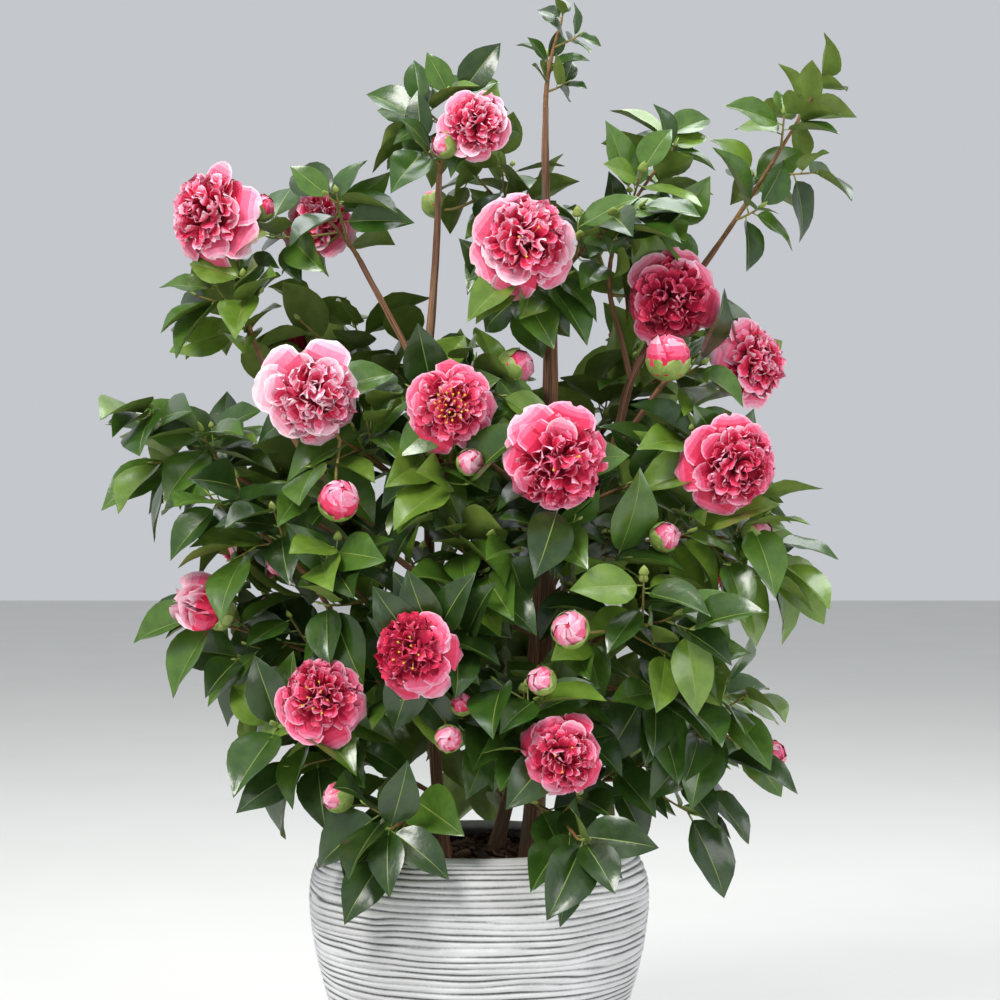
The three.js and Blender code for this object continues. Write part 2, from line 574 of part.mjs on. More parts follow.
plans.forEach((plan) => {
  const stem = limbSolid(plan.stem, tapering(STEM), 3, STEM.steps);
  plan.solids.push(stem);
  keep(cutFreeOfLimbs(stem), plan.mass.name);
});

function addLeaves(plan, leaves, carrier) {
  plan.leaves.push(...leaves.map((leaf) => ({ ...leaf, carrier })));
}

function growFlower(flower, head, leafy) {
  const plan = plans.find(({ mass }) => mass.name === flower.on);
  const stalk = stalkTo(flower, plan.stem);
  const carrier = grow(plan, head.add(limbSolid(stalk, tapering(TWIG), 3, STALK.steps)));
  if (!carrier) throw new Error(`something is in the way of the flower at ${flower.at}`);
  if (leafy) addLeaves(plan, leavesBehind(flower, stalk, plan.draw), carrier);
}

BLOOMS.forEach((bloom) => growFlower(bloom, bloomSolid(bloom), true));
BUDS.forEach((bud) => growFlower(bud, budSolid(bud), false));

plans.forEach((plan) => {
  plan.twigs.forEach((twig) => {
    const leaves = leavesOf(twig, plan.draw);
    const carrier = grow(plan, limbSolid(twig.curve, tapering(TWIG), 3, 1));
    if (carrier) addLeaves(plan, leaves, carrier);
  });
});

// The masses take turns, one leaf each, so that none crowds out its neighbours
const mostLeaves = Math.max(...plans.map((plan) => plan.leaves.length));
for (let i = 0; i < mostLeaves; i += 1) {
  plans.filter((plan) => i < plan.leaves.length).forEach((plan) => {
    const leaf = plan.leaves[i];
    if (!hidesBloom(leaf) && inOwnSpace(leaf, plan)) grow(plan, leafSolid(leaf), leaf.carrier);
  });
}

const finish = {
  bark: new THREE.MeshStandardMaterial({ color: 0x6f4e37, roughness: 0.9, metalness: 0 }),
  leaf: new THREE.MeshStandardMaterial({ color: 0x2f5a2a, roughness: 0.35, metalness: 0 }),
  pot: new THREE.MeshStandardMaterial({ color: 0xd9d9d6, roughness: 0.75, metalness: 0 }),
  soil: new THREE.MeshStandardMaterial({ color: 0x3a2b22, roughness: 1, metalness: 0 }),
};

const camellia = new THREE.Group();
camellia.name = 'camellia_shrub';
camellia.add(meshOf('pot', potSolid, finish.pot));
camellia.add(meshOf('soil', soilSolid, finish.soil));
limbs.forEach((limb, name) => camellia.add(meshOf(name, limb.solid, finish.bark)));
plans.forEach(({ mass, solids }) => {
  const joined = wasm.Manifold.union(solids).asOriginal().simplify(SMOOTH);
  camellia.add(meshOf(`foliage_${mass.name}`, cutFreeOfLimbs(joined), finish.leaf));
});

export default camellia;
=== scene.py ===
import json
import math
from dataclasses import dataclass, replace

import bpy
import numpy as np
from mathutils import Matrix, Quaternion, Vector, noise

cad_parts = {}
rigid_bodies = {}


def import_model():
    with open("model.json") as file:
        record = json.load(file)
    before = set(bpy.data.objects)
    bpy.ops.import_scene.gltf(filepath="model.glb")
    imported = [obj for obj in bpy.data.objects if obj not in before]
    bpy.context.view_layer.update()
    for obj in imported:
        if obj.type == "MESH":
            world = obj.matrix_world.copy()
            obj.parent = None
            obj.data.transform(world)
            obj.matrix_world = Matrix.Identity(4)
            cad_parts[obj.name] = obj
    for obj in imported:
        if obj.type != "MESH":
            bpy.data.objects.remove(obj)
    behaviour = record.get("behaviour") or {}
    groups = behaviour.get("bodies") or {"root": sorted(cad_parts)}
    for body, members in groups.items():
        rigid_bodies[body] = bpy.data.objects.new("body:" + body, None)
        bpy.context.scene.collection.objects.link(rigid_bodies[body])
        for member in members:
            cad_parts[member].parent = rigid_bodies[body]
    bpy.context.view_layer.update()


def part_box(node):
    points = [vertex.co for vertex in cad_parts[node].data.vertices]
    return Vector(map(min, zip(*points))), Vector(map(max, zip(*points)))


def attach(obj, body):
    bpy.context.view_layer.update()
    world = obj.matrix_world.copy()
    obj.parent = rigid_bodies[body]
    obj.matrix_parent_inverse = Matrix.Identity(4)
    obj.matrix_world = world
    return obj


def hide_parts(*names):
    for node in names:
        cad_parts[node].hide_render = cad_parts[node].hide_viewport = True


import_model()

MM = 0.001
UP = Vector((0, 0, 1))

# Pot and soil, as in the source
POT = {
    "radius": 180 * MM, "height": 290 * MM, "widest_at": 230 * MM, "mouth": 133 * MM,
    "taper_length": 397 * MM, "taper_power": 1.68, "shoulder_power": 2.3,
    "wall": 10 * MM, "lip": 7 * MM, "floor": 14 * MM,
}
SOIL_LEVEL = 272 * MM
CROWN_AXIS = Vector((15 * MM, 20 * MM, 0))

# The rule of growth, as in the source. Angles are in degrees, and a pair is the least and the most
STEM = {"thick": 5.8 * MM, "thin": 3.6 * MM, "arch": 14 * MM, "ahead": 0.45}
STALK = {
    "thick": 3.6 * MM, "thin": 2.9 * MM, "behind": 0.2, "swing": 0.5, "straighten": 0.4,
    "from": 0.1, "steps": 18,
}
TWIG = {
    "thick": 3.0 * MM, "thin": 1.9 * MM, "reach": (0.55, 1), "splay": (50, 74), "waver": 50,
    "outward": 0.5, "upward": 0.25, "first_on_tip": 0.2, "first_on_side": 0.42,
    "last_reach": 0.35, "last_splay": 7, "sag": 0.05,
}
LEAF = {
    "length": (64 * MM, 99 * MM), "width": (0.5, 0.6), "widest_at": 0.42,
    "per_twig": 5, "from": 0.42, "to": 0.94, "opens": (80, 46), "waver": 30,
    "droop": (0.3, 0.65), "hang": (0.75, 0.05), "aloft": (1, 0.63), "curl": (0.1, 0.22),
    "outlook": 0.75, "skyward": 0.6, "unrest": 0.3,
}
# Leaves hang less and are shorter the higher they are: from what height, and over how much of it
HANGS_LESS = (0.35, 0.75)
SHORTER = (0.8, 0.35)
# Leaves look less to the sides than to the front and back, and at the back's top mostly to the sky
OUTLOOK = {"sideways": 0.45, "front_or_back": 0.5, "high_behind": 0.35}
BEHIND_FROM = 0.04
HIGH_FROM = 0.7
# The forms of leaf: name, fold, curl, wave of the edge, twist, and how far the fields are raised
LEAF_FORMS = [
    ("leaf_flat", 0.10, 0.12, 0.018, 0.05, 0.006),
    ("leaf_folded", 0.26, 0.16, 0.020, -0.10, 0.008),
    ("leaf_arched", 0.14, 0.25, 0.024, 0.16, 0.007),
    ("leaf_waved", 0.17, 0.14, 0.040, -0.22, 0.010),
    ("leaf_cupped", 0.32, 0.19, 0.014, 0.10, 0.006),
]
# The place along a leaf about which it twists
TWISTS_AT = 0.3
BLOOM_LEAF = {
    "count": 3, "from": 0.62, "apart": 0.1, "opens": 72, "towards_bloom": 0.7, "towards_sky": 0.5,
}
GOLDEN_ANGLE = 137.5
# The space of a mass is round its stem: the part of the stem, its steps, and how far spaces overlap
SPACE = {"from": 0.35, "steps": 8, "shared": 0.42}
FIRST_SEED = 1009
SEED_STEP = 7919

# A mass that is tighter than in the source, as a share of its twigs' reach and its leaves' size
TIGHT = {"leader_top": 0.68}

# What the scene carries further than the source: side shoots on the twigs, and leaves on the stems
SHOOT = {
    "at": (0.3, 0.55, 0.78), "on_stem": (0.25, 0.4, 0.55, 0.7), "splay": 52, "waver": 16,
    "reach": 0.52, "shortest": 0.7, "outward": 0.3, "upward": 0.2,
    "thick": 2.0 * MM, "thin": 1.3 * MM, "leaves": 4,
}
STEM_LEAF = {"from": 0.3, "to": 0.95, "count": 7, "opens": 62, "waver": 40}
FINER_SEED = 40503

# The upright stems: each goes through its places from the soil to its tip
TRUNKS = [
    ("leader_stem", (55, 15), 21, 6, 30,
     [(72, 12, 545), (76, 5, 755), (75, 0, 860), (70, 0, 975), (70, 0, 1062)]),
    ("left_stem", (-36, 0), 15, 6, 22,
     [(-46, -5, 375), (-51, 0, 545), (-55, 0, 755), (-46, 0, 900), (-42, 0, 990)]),
    ("back_stem", (15, 62), 16, 6, 23,
     [(52, 92, 420), (68, 106, 640), (74, 112, 850)]),
]

# The main boughs: name, carrier, height on it, thick and thin end, and the places to the tip
BOUGHS = [
    ("right_bough", "leader_stem", 552, 12, 6.4,
     [(135, 10, 680), (162, 0, 780), (208, 0, 855), (250, 0, 915)]),
    ("right_arm_bough", "right_bough", 690, 8, 5.6, [(163, -6, 728), (188, -18, 765)]),
    ("high_right_bough", "right_bough", 775, 7, 5.4, [(150, -14, 815), (140, -22, 850)]),
    ("upper_left_bough", "left_stem", 745, 9, 5.6, [(-70, 0, 795), (-125, 0, 900)]),
    ("left_high_bough", "left_stem", 590, 10, 5.6,
     [(-130, -15, 640), (-195, -20, 715), (-230, -12, 800)]),
    ("left_arm_bough", "left_stem", 535, 10, 5.6, [(-155, 0, 612), (-235, -10, 662)]),
    ("left_low_bough", "left_stem", 395, 9, 5.6, [(-120, -60, 485), (-162, -70, 552)]),
    ("right_mid_bough", "leader_stem", 540, 9, 5.6, [(120, -25, 582), (160, -40, 600)]),
    ("low_right_bough", "leader_stem", 420, 9, 5.6, [(95, -40, 458), (140, -60, 455)]),
    ("back_left_bough", "back_stem", 500, 9, 5.6, [(-60, 125, 560), (-115, 135, 600)]),
    ("back_right_bough", "back_stem", 470, 9, 5.6, [(80, 125, 530), (135, 135, 580)]),
]

# The masses of foliage: name, limb, height on it or None for its tip, end of the stem, spread, twigs
MASSES = [
    ("leader_top", "leader_stem", None, (86, 0, 1150), 44, 4),
    ("right_leader", "right_bough", None, (352, 15, 1075), 56, 6),
    ("high_right", "high_right_bough", None, (190, -20, 1000), 66, 6),
    ("high_centre", "leader_stem", 835, (48, -70, 880), 66, 3),
    ("high_front", "leader_stem", 868, (135, -84, 930), 58, 4),
    ("upper_centre", "left_stem", 715, (12, -64, 775), 56, 4),
    ("high_left", "left_stem", None, (-28, -8, 1052), 66, 5),
    ("upper_left", "upper_left_bough", None, (-176, -10, 958), 86, 6),
    ("left_high", "left_high_bough", None, (-258, -16, 905), 64, 6),
    ("left_arm", "left_arm_bough", None, (-330, -25, 725), 66, 5),
    ("left_low_arm", "left_low_bough", None, (-256, -80, 638), 70, 5),
    ("left_side", "left_stem", 430, (-262, -58, 520), 76, 5),
    ("low_left", "left_stem", 335, (-186, -92, 408), 84, 6),
    ("middle_left", "left_stem", 640, (-140, -112, 712), 72, 4),
    ("centre_left", "left_stem", 610, (-28, -112, 690), 70, 4),
    ("middle", "left_stem", 500, (6, -122, 600), 74, 6),
    ("middle_low_left", "left_stem", 460, (-140, -125, 575), 70, 5),
    ("middle_right", "leader_stem", 500, (135, -100, 612), 70, 4),
    ("centre", "leader_stem", 585, (78, -142, 640), 72, 5),
    ("right_arm", "right_arm_bough", None, (262, -12, 782), 62, 4),
    ("right_front", "leader_stem", 625, (236, -84, 690), 68, 5),
    ("right_mid", "right_mid_bough", None, (282, -58, 606), 70, 5),
    ("low_middle", "leader_stem", 470, (182, -150, 530), 68, 5),
    ("low_right", "low_right_bough", None, (258, -58, 405), 78, 5),
    ("low_front", "left_stem", 405, (-40, -150, 505), 76, 6),
    ("low_centre", "leader_stem", 380, (50, -140, 430), 76, 5),
    ("skirt_left", "left_stem", 312, (-85, -160, 325), 70, 5),
    ("skirt_front", "leader_stem", 322, (98, -196, 320), 66, 5),
    ("skirt_right", "leader_stem", 345, (216, -45, 350), 72, 5),
    ("back_top", "back_stem", None, (10, 105, 985), 84, 6),
    ("back_left_high", "back_stem", 640, (-172, 105, 820), 84, 6),
    ("back_right_high", "back_stem", 620, (190, 110, 790), 84, 6),
    ("back_left", "back_left_bough", None, (-228, 92, 640), 84, 6),
    ("back_right", "back_right_bough", None, (246, 92, 610), 84, 6),
    ("back_middle", "back_stem", 560, (10, 222, 690), 88, 6),
    ("back_left_low", "back_stem", 390, (-200, 110, 440), 84, 6),
    ("back_right_low", "back_stem", 370, (212, 110, 430), 84, 6),
    ("back_low", "back_stem", 360, (15, 232, 455), 88, 6),
    ("back_skirt", "back_stem", 312, (10, 180, 325), 72, 5),
]

# Blooms: mass, middle, width, and the way it faces, turned right of -Y and raised. Then what only
# the scene has: how pale it is, the way its dome leans, in degrees round it, how far, and its stamens
BLOOMS = [
    ("left_high", (-282, -42, 947), 114, -35, 4, 1, 20, 0.35, 0),
    ("upper_left", (-172, 24, 944), 84, -20, 10, 1, 90, 0.1, 0),
    ("high_left", (-3, -60, 1037), 80, -8, 8, 1, 180, 0.2, 0),
    ("high_centre", (48, -110, 913), 114, 4, 4, 1, 110, 0.35, 3),
    ("high_right", (196, -58, 857), 104, -12, -4, -1, 300, 0.1, 0),
    ("right_arm", (292, -12, 794), 96, 42, 5, 1, 180, 0.25, 0),
    ("right_front", (259, -122, 685), 105, 14, -4, 0, 200, 0.3, 0),
    ("centre", (81, -190, 689), 114, 8, -10, 0, 235, 0.35, 2),
    ("centre_left", (-27, -152, 745), 97, 0, 3, 0, 210, 0.1, 26),
    ("middle_left", (-167, -134, 756), 112, 6, -5, 2, 215, 0.25, 0),
    ("low_front", (-65, -202, 504), 94, -12, 5, -2, 20, 0.35, 8),
    ("low_left", (-158, -156, 454), 97, -8, 8, 0, 80, 0.4, 8),
    ("low_centre", (84, -192, 402), 87, 0, 5, 0, 200, 0.15, 3),
    ("back_top", (40, 176, 940), 92, 168, 10, 0, 250, 0.2, 0),
    ("back_left_high", (-205, 150, 800), 104, -140, 5, 1, 100, 0.15, 5),
    ("back_right_high", (185, 180, 815), 98, 155, 4, 0, 200, 0.2, 0),
    ("back_middle", (-35, 262, 690), 110, -172, 0, 0, 300, 0.2, 4),
    ("back_left", (-262, 140, 605), 96, -128, 0, -1, 30, 0.15, 6),
    ("back_right", (262, 150, 590), 106, 130, 0, 1, 270, 0.25, 0),
    ("back_low", (60, 262, 480), 98, 172, 4, 0, 200, 0.2, 12),
    ("back_left_low", (-205, 180, 440), 90, -145, 6, 0, 90, 0.1, 0),
]

# Buds: mass, middle, width, the way it points, and how far it has come
BUDS = [
    ("left_side", (-273, -72, 536), 58, -75, 25, "opening"),
    ("right_arm", (193, -98, 796), 42, 0, 80, "bursting"),
    ("high_left", (-35, -50, 1017), 25, -60, 10, "pink"),
    ("left_high", (-228, -12, 955), 26, 60, 40, "red"),
    ("upper_centre", (38, -62, 788), 34, 75, 15, "pink"),
    ("centre_left", (-8, -152, 690), 25, 10, 10, "pink"),
    ("middle_left", (-138, -170, 652), 37, 20, 35, "bursting"),
    ("left_low_arm", (-203, -96, 588), 27, -60, -20, "pink"),
    ("low_middle", (91, -200, 526), 34, -10, 15, "pink"),
    ("low_centre", (63, -200, 476), 26, -30, 25, "pink"),
    ("low_front", (-16, -165, 449), 21, 0, 30, "red"),
    ("low_front", (-29, -182, 417), 25, 5, 5, "pink"),
    ("low_left", (-141, -140, 353), 28, -60, 15, "pink"),
    ("right_mid", (189, -112, 614), 28, 40, 20, "pink"),
    ("right_mid", (286, -74, 617), 28, 70, 15, "pink"),
    ("low_right", (301, -66, 387), 29, 40, -5, "bursting"),
    ("back_top", (-50, 150, 975), 28, -150, 45, "pink"),
    ("back_right", (225, 175, 660), 30, 140, 30, "pink"),
    ("back_middle", (75, 240, 740), 27, 165, 40, "green"),
    ("back_low", (-60, 265, 500), 30, -170, 20, "pink"),
    ("back_right_low", (235, 180, 440), 32, 140, 25, "pink"),
]


# Small sums
def between(pair, share):
    return pair[0] + (pair[1] - pair[0]) * share


def steadily(low, high, steps):
    return [between((low, high), i / steps) for i in range(steps + 1)]


def place_of(values):
    return Vector(values) * MM


def draws(seed):
    """A seeded stream of numbers from 0 to 1, as in the source."""
    state = seed

    def draw():
        nonlocal state
        state = state * 16807 % 2147483647
        return state / 2147483647

    return draw


def square_to(way, ahead):
    """The part of a direction that is square to another, one long."""
    return (way - ahead * way.dot(ahead)).normalized()


def tilted(ahead, aside, angle):
    """A direction turned by an angle towards another one that is square to it."""
    return ahead * math.cos(angle) + aside * math.sin(angle)


def risen(place, start, span):
    """How far up a stretch of height a place is, from 0 to 1."""
    return min(1, max(0, place.z - start) / span)


def sideways(ahead, turn):
    """A direction square to `ahead`, turned round it by `turn` degrees."""
    upright = math.hypot(ahead.x, ahead.y) < 0.1 * ahead.length
    across = square_to(Vector((1, 0, 0)) if upright else ahead.cross(UP).normalized(), ahead)
    return tilted(across, across.cross(ahead), math.radians(turn))


def outward(place):
    way = place - CROWN_AXIS
    return Vector((way.x, way.y, 0)).normalized()


def sky_and_outlook(place):
    """The way a leaf looks before its own unrest is added."""
    way = outward(place)
    ahead = way.y + OUTLOOK["front_or_back"] * math.copysign(1, way.y)
    outlook = Vector((OUTLOOK["sideways"] * way.x, ahead, 0)).normalized()
    high_behind = place.y > BEHIND_FROM and place.z > HIGH_FROM
    share = OUTLOOK["high_behind"] if high_behind else 1
    return outlook * (LEAF["outlook"] * share) + UP * LEAF["skyward"]


def facing(turn, rise):
    """A direction turned to the right of -Y and raised, both in degrees."""
    t, r = math.radians(turn), math.radians(rise)
    return Vector((math.sin(t) * math.cos(r), -math.cos(t) * math.cos(r), math.sin(r)))


# Curves
NUDGE = 1e-3
HALVINGS = 30


class Path:
    """A curve that gives its place and its direction at a share of its length."""

    def __init__(self, at):
        self.at = at

    def ahead(self, share):
        near, far = max(0, share - NUDGE), min(1, share + NUDGE)
        return (self.at(far) - self.at(near)).normalized()


def path_through(places):
    """A smooth curve through all of its places."""
    last = len(places) - 1

    def at(share):
        whole = share * last
        i = min(int(whole), last - 1)
        t = whole - i
        a, b = places[i], places[i + 1]
        before = places[i - 1] if i > 0 else 2 * a - b
        after = places[i + 2] if i + 2 <= last else 2 * b - a
        leave, arrive = (b - before) * 0.5, (after - a) * 0.5
        square, cube = t * t, t * t * t
        return (a + leave * t + (3 * (b - a) - 2 * leave - arrive) * square
                + (2 * (a - b) + leave + arrive) * cube)

    return Path(at)


def bent_path(root, bend, tip):
    return Path(lambda t: root * (1 - t) ** 2 + bend * (2 * t * (1 - t)) + tip * t ** 2)


def share_at_height(path, height):
    """Where a rising curve reaches a height."""
    low, high = 0, 1
    for _ in range(HALVINGS):
        middle = (low + high) / 2
        if path.at(middle).z < height:
            low = middle
        else:
            high = middle
    return low


# Limbs: how deep a trunk starts in the soil, and how soon the flare of its foot fades
LIMB_BURIED = 12 * MM
FLARE_FADES = 26


@dataclass
class Limb:
    path: Path
    radius_at: object


def trunk_limb(foot, thick, thin, flare, through):
    def radius_at(share):
        flared = (flare - thick) * math.exp(-FLARE_FADES * share)
        return (between((thick, thin), share) + flared) * MM / 2

    first = Vector((foot[0] * MM, foot[1] * MM, SOIL_LEVEL - LIMB_BURIED))
    return Limb(path_through([first, *map(place_of, through)]), radius_at)


def bough_limb(carrier, height, thick, thin, through):
    first = carrier.path.at(share_at_height(carrier.path, height * MM))
    path = path_through([first, *map(place_of, through)])
    return Limb(path, lambda share: between((thick, thin), share) * MM / 2)


limbs = {}
for name, *sizes in TRUNKS:
    limbs[name] = trunk_limb(*sizes)
for name, carrier, *sizes in BOUGHS:
    limbs[name] = bough_limb(limbs[carrier], *sizes)


# Growth of the masses
@dataclass
class Placed:
    """A leaf or other small piece: where it starts, the way it points and faces, and its size."""
    root: Vector
    along: Vector
    face: Vector
    length: float
    width: float
    curl: float = 0
    shape: int = 0
    tone: int = 0


@dataclass
class Mass:
    """A mass of foliage, with its two streams of draws and how far its stem runs in the scene."""
    name: str
    spread: float
    stem: Path
    twigs: list
    draw: object
    finer: object
    samples: list
    top: float
    ends: float = 1


@dataclass
class Twig:
    """A twig or side shoot: `turn` is where its leaves begin, `starts` its place on the carrier."""
    path: Path
    turn: float
    thick: float
    thin: float
    starts: float


def straight_twig(root, way, reach, turn, sizes, starts):
    bend = root + way * (reach * 0.5) - UP * (reach * TWIG["sag"])
    path = bent_path(root, bend, root + way * reach)
    return Twig(path, turn, sizes["thick"], sizes["thin"], starts)


def stem_of(limb, height, tip):
    share = share_at_height(limb.path, height * MM) if height else 1
    root = limb.path.at(share)
    if height:
        bend = root.lerp(tip, 0.5) + UP * STEM["arch"]
    else:
        bend = root + limb.path.ahead(1) * (STEM["ahead"] * (root - tip).length)
    return bent_path(root, bend, tip)


def twigs_of(height, spread, count, stem, draw):
    first = TWIG["first_on_side"] if height else TWIG["first_on_tip"]
    made = []
    for i, share in enumerate(steadily(first, 1, count - 1)):
        last = i == count - 1
        root, ahead = stem.at(share), stem.ahead(share)
        turn = GOLDEN_ANGLE * i + TWIG["waver"] * (draw() - 0.5)
        splay = math.radians(TWIG["last_splay"] if last else between(TWIG["splay"], draw()))
        way = tilted(ahead, sideways(ahead, turn), splay)
        way += outward(root) * (0 if last else TWIG["outward"]) + UP * TWIG["upward"]
        reach = spread * (TWIG["last_reach"] if last else between(TWIG["reach"], draw()))
        turn = 360 * draw()
        made.append(straight_twig(root, way.normalized(), reach, turn, TWIG, share))
    return made


def leaf_on(path, share, turn, opens, draw, face):
    root, ahead = path.at(share), path.ahead(share)
    along = tilted(ahead, sideways(ahead, turn), math.radians(opens))
    hang = between(LEAF["hang"], risen(root, *HANGS_LESS))
    along = (along - UP * (between(LEAF["droop"], draw()) * hang)).normalized()
    face = square_to(face + sideways(along, 360 * draw()) * LEAF["unrest"], along)
    length = between(LEAF["length"], draw()) * between(LEAF["aloft"], risen(root, *SHORTER))
    width = length * between(LEAF["width"], draw())
    return Placed(root, along, face, length, width, between(LEAF["curl"], draw()))


def leaves_of(twig, draw, count=LEAF["per_twig"]):
    made = []
    for i, share in enumerate(leaf_shares(count)):
        part = i / (count - 1)
        turn = twig.turn + GOLDEN_ANGLE * i + LEAF["waver"] * (draw() - 0.5)
        face = sky_and_outlook(twig.path.at(share))
        made.append(leaf_on(twig.path, share, turn, between(LEAF["opens"], part), draw, face))
    return made


def leaf_place(leaf, along, across):
    """A place on a leaf, by shares of its length and of its half width."""
    aside = leaf.face.cross(leaf.along)
    drop = leaf.curl * leaf.length * along * along
    middle = leaf.root + leaf.along * (along * leaf.length)
    return middle + aside * (across * leaf.width / 2) - leaf.face * drop


def mass_from(i, name, limb, height, tip, spread, count):
    draw = draws(FIRST_SEED + SEED_STEP * i)
    stem = stem_of(limbs[limb], height, place_of(tip))
    sampled_from = SPACE["from"] if height else 0
    samples = [stem.at(share) for share in steadily(sampled_from, 1, SPACE["steps"])]
    twigs = twigs_of(height, spread * MM * TIGHT.get(name, 1), count, stem, draw)
    finer = draws(FINER_SEED + SEED_STEP * i)
    return Mass(name, spread * MM, stem, twigs, draw, finer, samples, tip[2] * MM)


masses = {row[0]: mass_from(i, *row) for i, row in enumerate(MASSES)}


@dataclass
class Flower:
    """A bloom or bud. `base` is how far behind its middle the petals start, as a share of its width."""
    mass: Mass
    at: Vector
    width: float
    ahead: Vector
    stalk: Path
    look: tuple
    base: float = 0.15


def flower_from(on, at, width, turn, rise, *look):
    mass, at, width, ahead = masses[on], place_of(at), width * MM, facing(turn, rise)
    back = at - ahead * (STALK["behind"] * width)
    starts = [mass.stem.at(share) for share in steadily(STALK["from"], 1, STALK["steps"])]
    root = min(starts, key=lambda place: (place - back).length)
    bend = back - ahead * (STALK["swing"] * (root - back).length)
    bend = bend.lerp(root.lerp(back, 0.5), STALK["straighten"])
    return Flower(mass, at, width, ahead, bent_path(root, bend, back), look)


blooms = [flower_from(*row) for row in BLOOMS]
buds = [flower_from(*row) for row in BUDS]


def leaves_behind(bloom):
    draw = bloom.mass.draw
    first = 360 * draw()
    made = []
    for i in range(BLOOM_LEAF["count"]):
        share = BLOOM_LEAF["from"] + BLOOM_LEAF["apart"] * i
        face = sky_and_outlook(bloom.stalk.at(share)) * BLOOM_LEAF["towards_sky"]
        face += bloom.ahead * BLOOM_LEAF["towards_bloom"]
        turn = first + GOLDEN_ANGLE * i
        made.append(leaf_on(bloom.stalk, share, turn, BLOOM_LEAF["opens"], draw, face))
    return made


# Room: what a leaf keeps clear of limbs, the pot and the places of other leaves. Blades whose
# places are less than CLOSE apart are checked against each other, and REACH_SPARE is how far a leaf
# may stick out of the box of its mass's solid
LIMB_ROOM = 2.5 * MM
POT_ROOM = 5 * MM
LEAF_ROOM = 5 * MM
CLOSE = 35 * MM
REACH_SPARE = 12 * MM
LIMB_STEPS = 60


def pot_radius(z):
    if z < POT["widest_at"]:
        return POT["radius"] * (1 - ((POT["widest_at"] - z) / POT["taper_length"]) ** POT["taper_power"])
    share = min(1, (z - POT["widest_at"]) / (POT["height"] - POT["widest_at"]))
    power = POT["shoulder_power"]
    return between((POT["mouth"], POT["radius"]), (1 - share ** power) ** (1 / power))


along_limbs = [(limb, share) for limb in limbs.values() for share in steadily(0, 1, LIMB_STEPS)]
LIMB_PLACES = np.array([limb.path.at(share) for limb, share in along_limbs])
LIMB_RADII = np.array([limb.radius_at(share) for limb, share in along_limbs])
STEM_SAMPLES = np.array([[list(p) for p in mass.samples] for mass in masses.values()])
SPREADS = np.array([mass.spread for mass in masses.values()])
MASS_NAMES = list(masses)
REACHES = {name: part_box("foliage_" + name) for name in masses}


def in_own_space(leaf, mass):
    """Whether a leaf's edges and tip are nearer to its own mass than to others, or nearly so."""
    mine = MASS_NAMES.index(mass.name)
    for along, across in ((LEAF["widest_at"], 1), (LEAF["widest_at"], -1), (1, 0)):
        place = np.array(leaf_place(leaf, along, across))
        away = np.linalg.norm(STEM_SAMPLES - place, axis=2).min(axis=1) / SPREADS
        others = np.delete(away, mine)
        if away[mine] >= others.min() + SPACE["shared"]:
            return False
    return True


def in_reach(places, box):
    low, high = (np.array(corner) for corner in box)
    return bool(np.all(places > low - REACH_SPARE) and np.all(places < high + REACH_SPARE))


def clear_of_limbs(places):
    gaps = np.linalg.norm(LIMB_PLACES[:, None] - places[None], axis=2) - LIMB_RADII[:, None]
    return gaps.min() > LIMB_ROOM


def clear_of_pot(places):
    for x, y, z in places:
        wall = pot_radius(max(0, min(z, POT["height"])))
        if z < POT["height"] + POT_ROOM and math.hypot(x, y) < wall + POT_ROOM:
            return False
    return True


BLADE_PLACES = [(0.1, 0, 0), (0.35, 0, 0), (0.7, 0, 0), (1, 0, 0),
                (0.35, 1, 0.93), (0.7, 1, 0.82), (0.35, -1, 0.93), (0.7, -1, 0.82)]
BLADE_LINES = [(0, 1), (1, 2), (2, 3), (0, 4), (4, 5), (5, 3), (0, 6), (6, 7), (7, 3)]
BLADE_FACES = [(0, 4, 1), (1, 4, 5), (1, 5, 2), (2, 5, 3), (0, 1, 6), (1, 7, 6), (1, 2, 7), (2, 3, 7)]


TIP_FROM = 0.8
TIP_BENDS = 1.2


def bent(curl, along):
    """How far a blade has bent down at a share of its length, most of all near its tip."""
    return curl * (along * along + TIP_BENDS * max(0, along - TIP_FROM))


def blade_of(leaf):
    _, fold, curl, _, twist, _ = LEAF_FORMS[leaf.shape]
    aside = leaf.face.cross(leaf.along) * (leaf.width / 2)
    places = []
    for along, side, half in BLADE_PLACES:
        lift = half / 2 * (fold + twist * (along - TWISTS_AT) * side) - bent(curl, along)
        places.append(leaf.root + leaf.along * (along * leaf.length) + aside * (side * half)
                      + leaf.face * (lift * leaf.length))
    return np.array(places)


def passes_through(lines_of, faces_of):
    """Whether a line of the first blades passes through a face of the second ones."""
    start, end = (lines_of[:, [line[k] for line in BLADE_LINES]][:, :, None] for k in (0, 1))
    corners = [faces_of[:, [face[k] for face in BLADE_FACES]][:, None] for k in (0, 1, 2)]
    upright = np.cross(corners[1] - corners[0], corners[2] - corners[0])
    slope = (upright * (end - start)).sum(-1)
    share = (upright * (corners[0] - start)).sum(-1) / np.where(slope == 0, 1, slope)
    met = (slope != 0) & (share > 0) & (share < 1)
    spot = start + (end - start) * share[..., None]
    for a, b in zip(corners, corners[1:] + corners[:1]):
        met &= (np.cross(b - a, spot - a) * upright).sum(-1) > 0
    return bool(met.any())


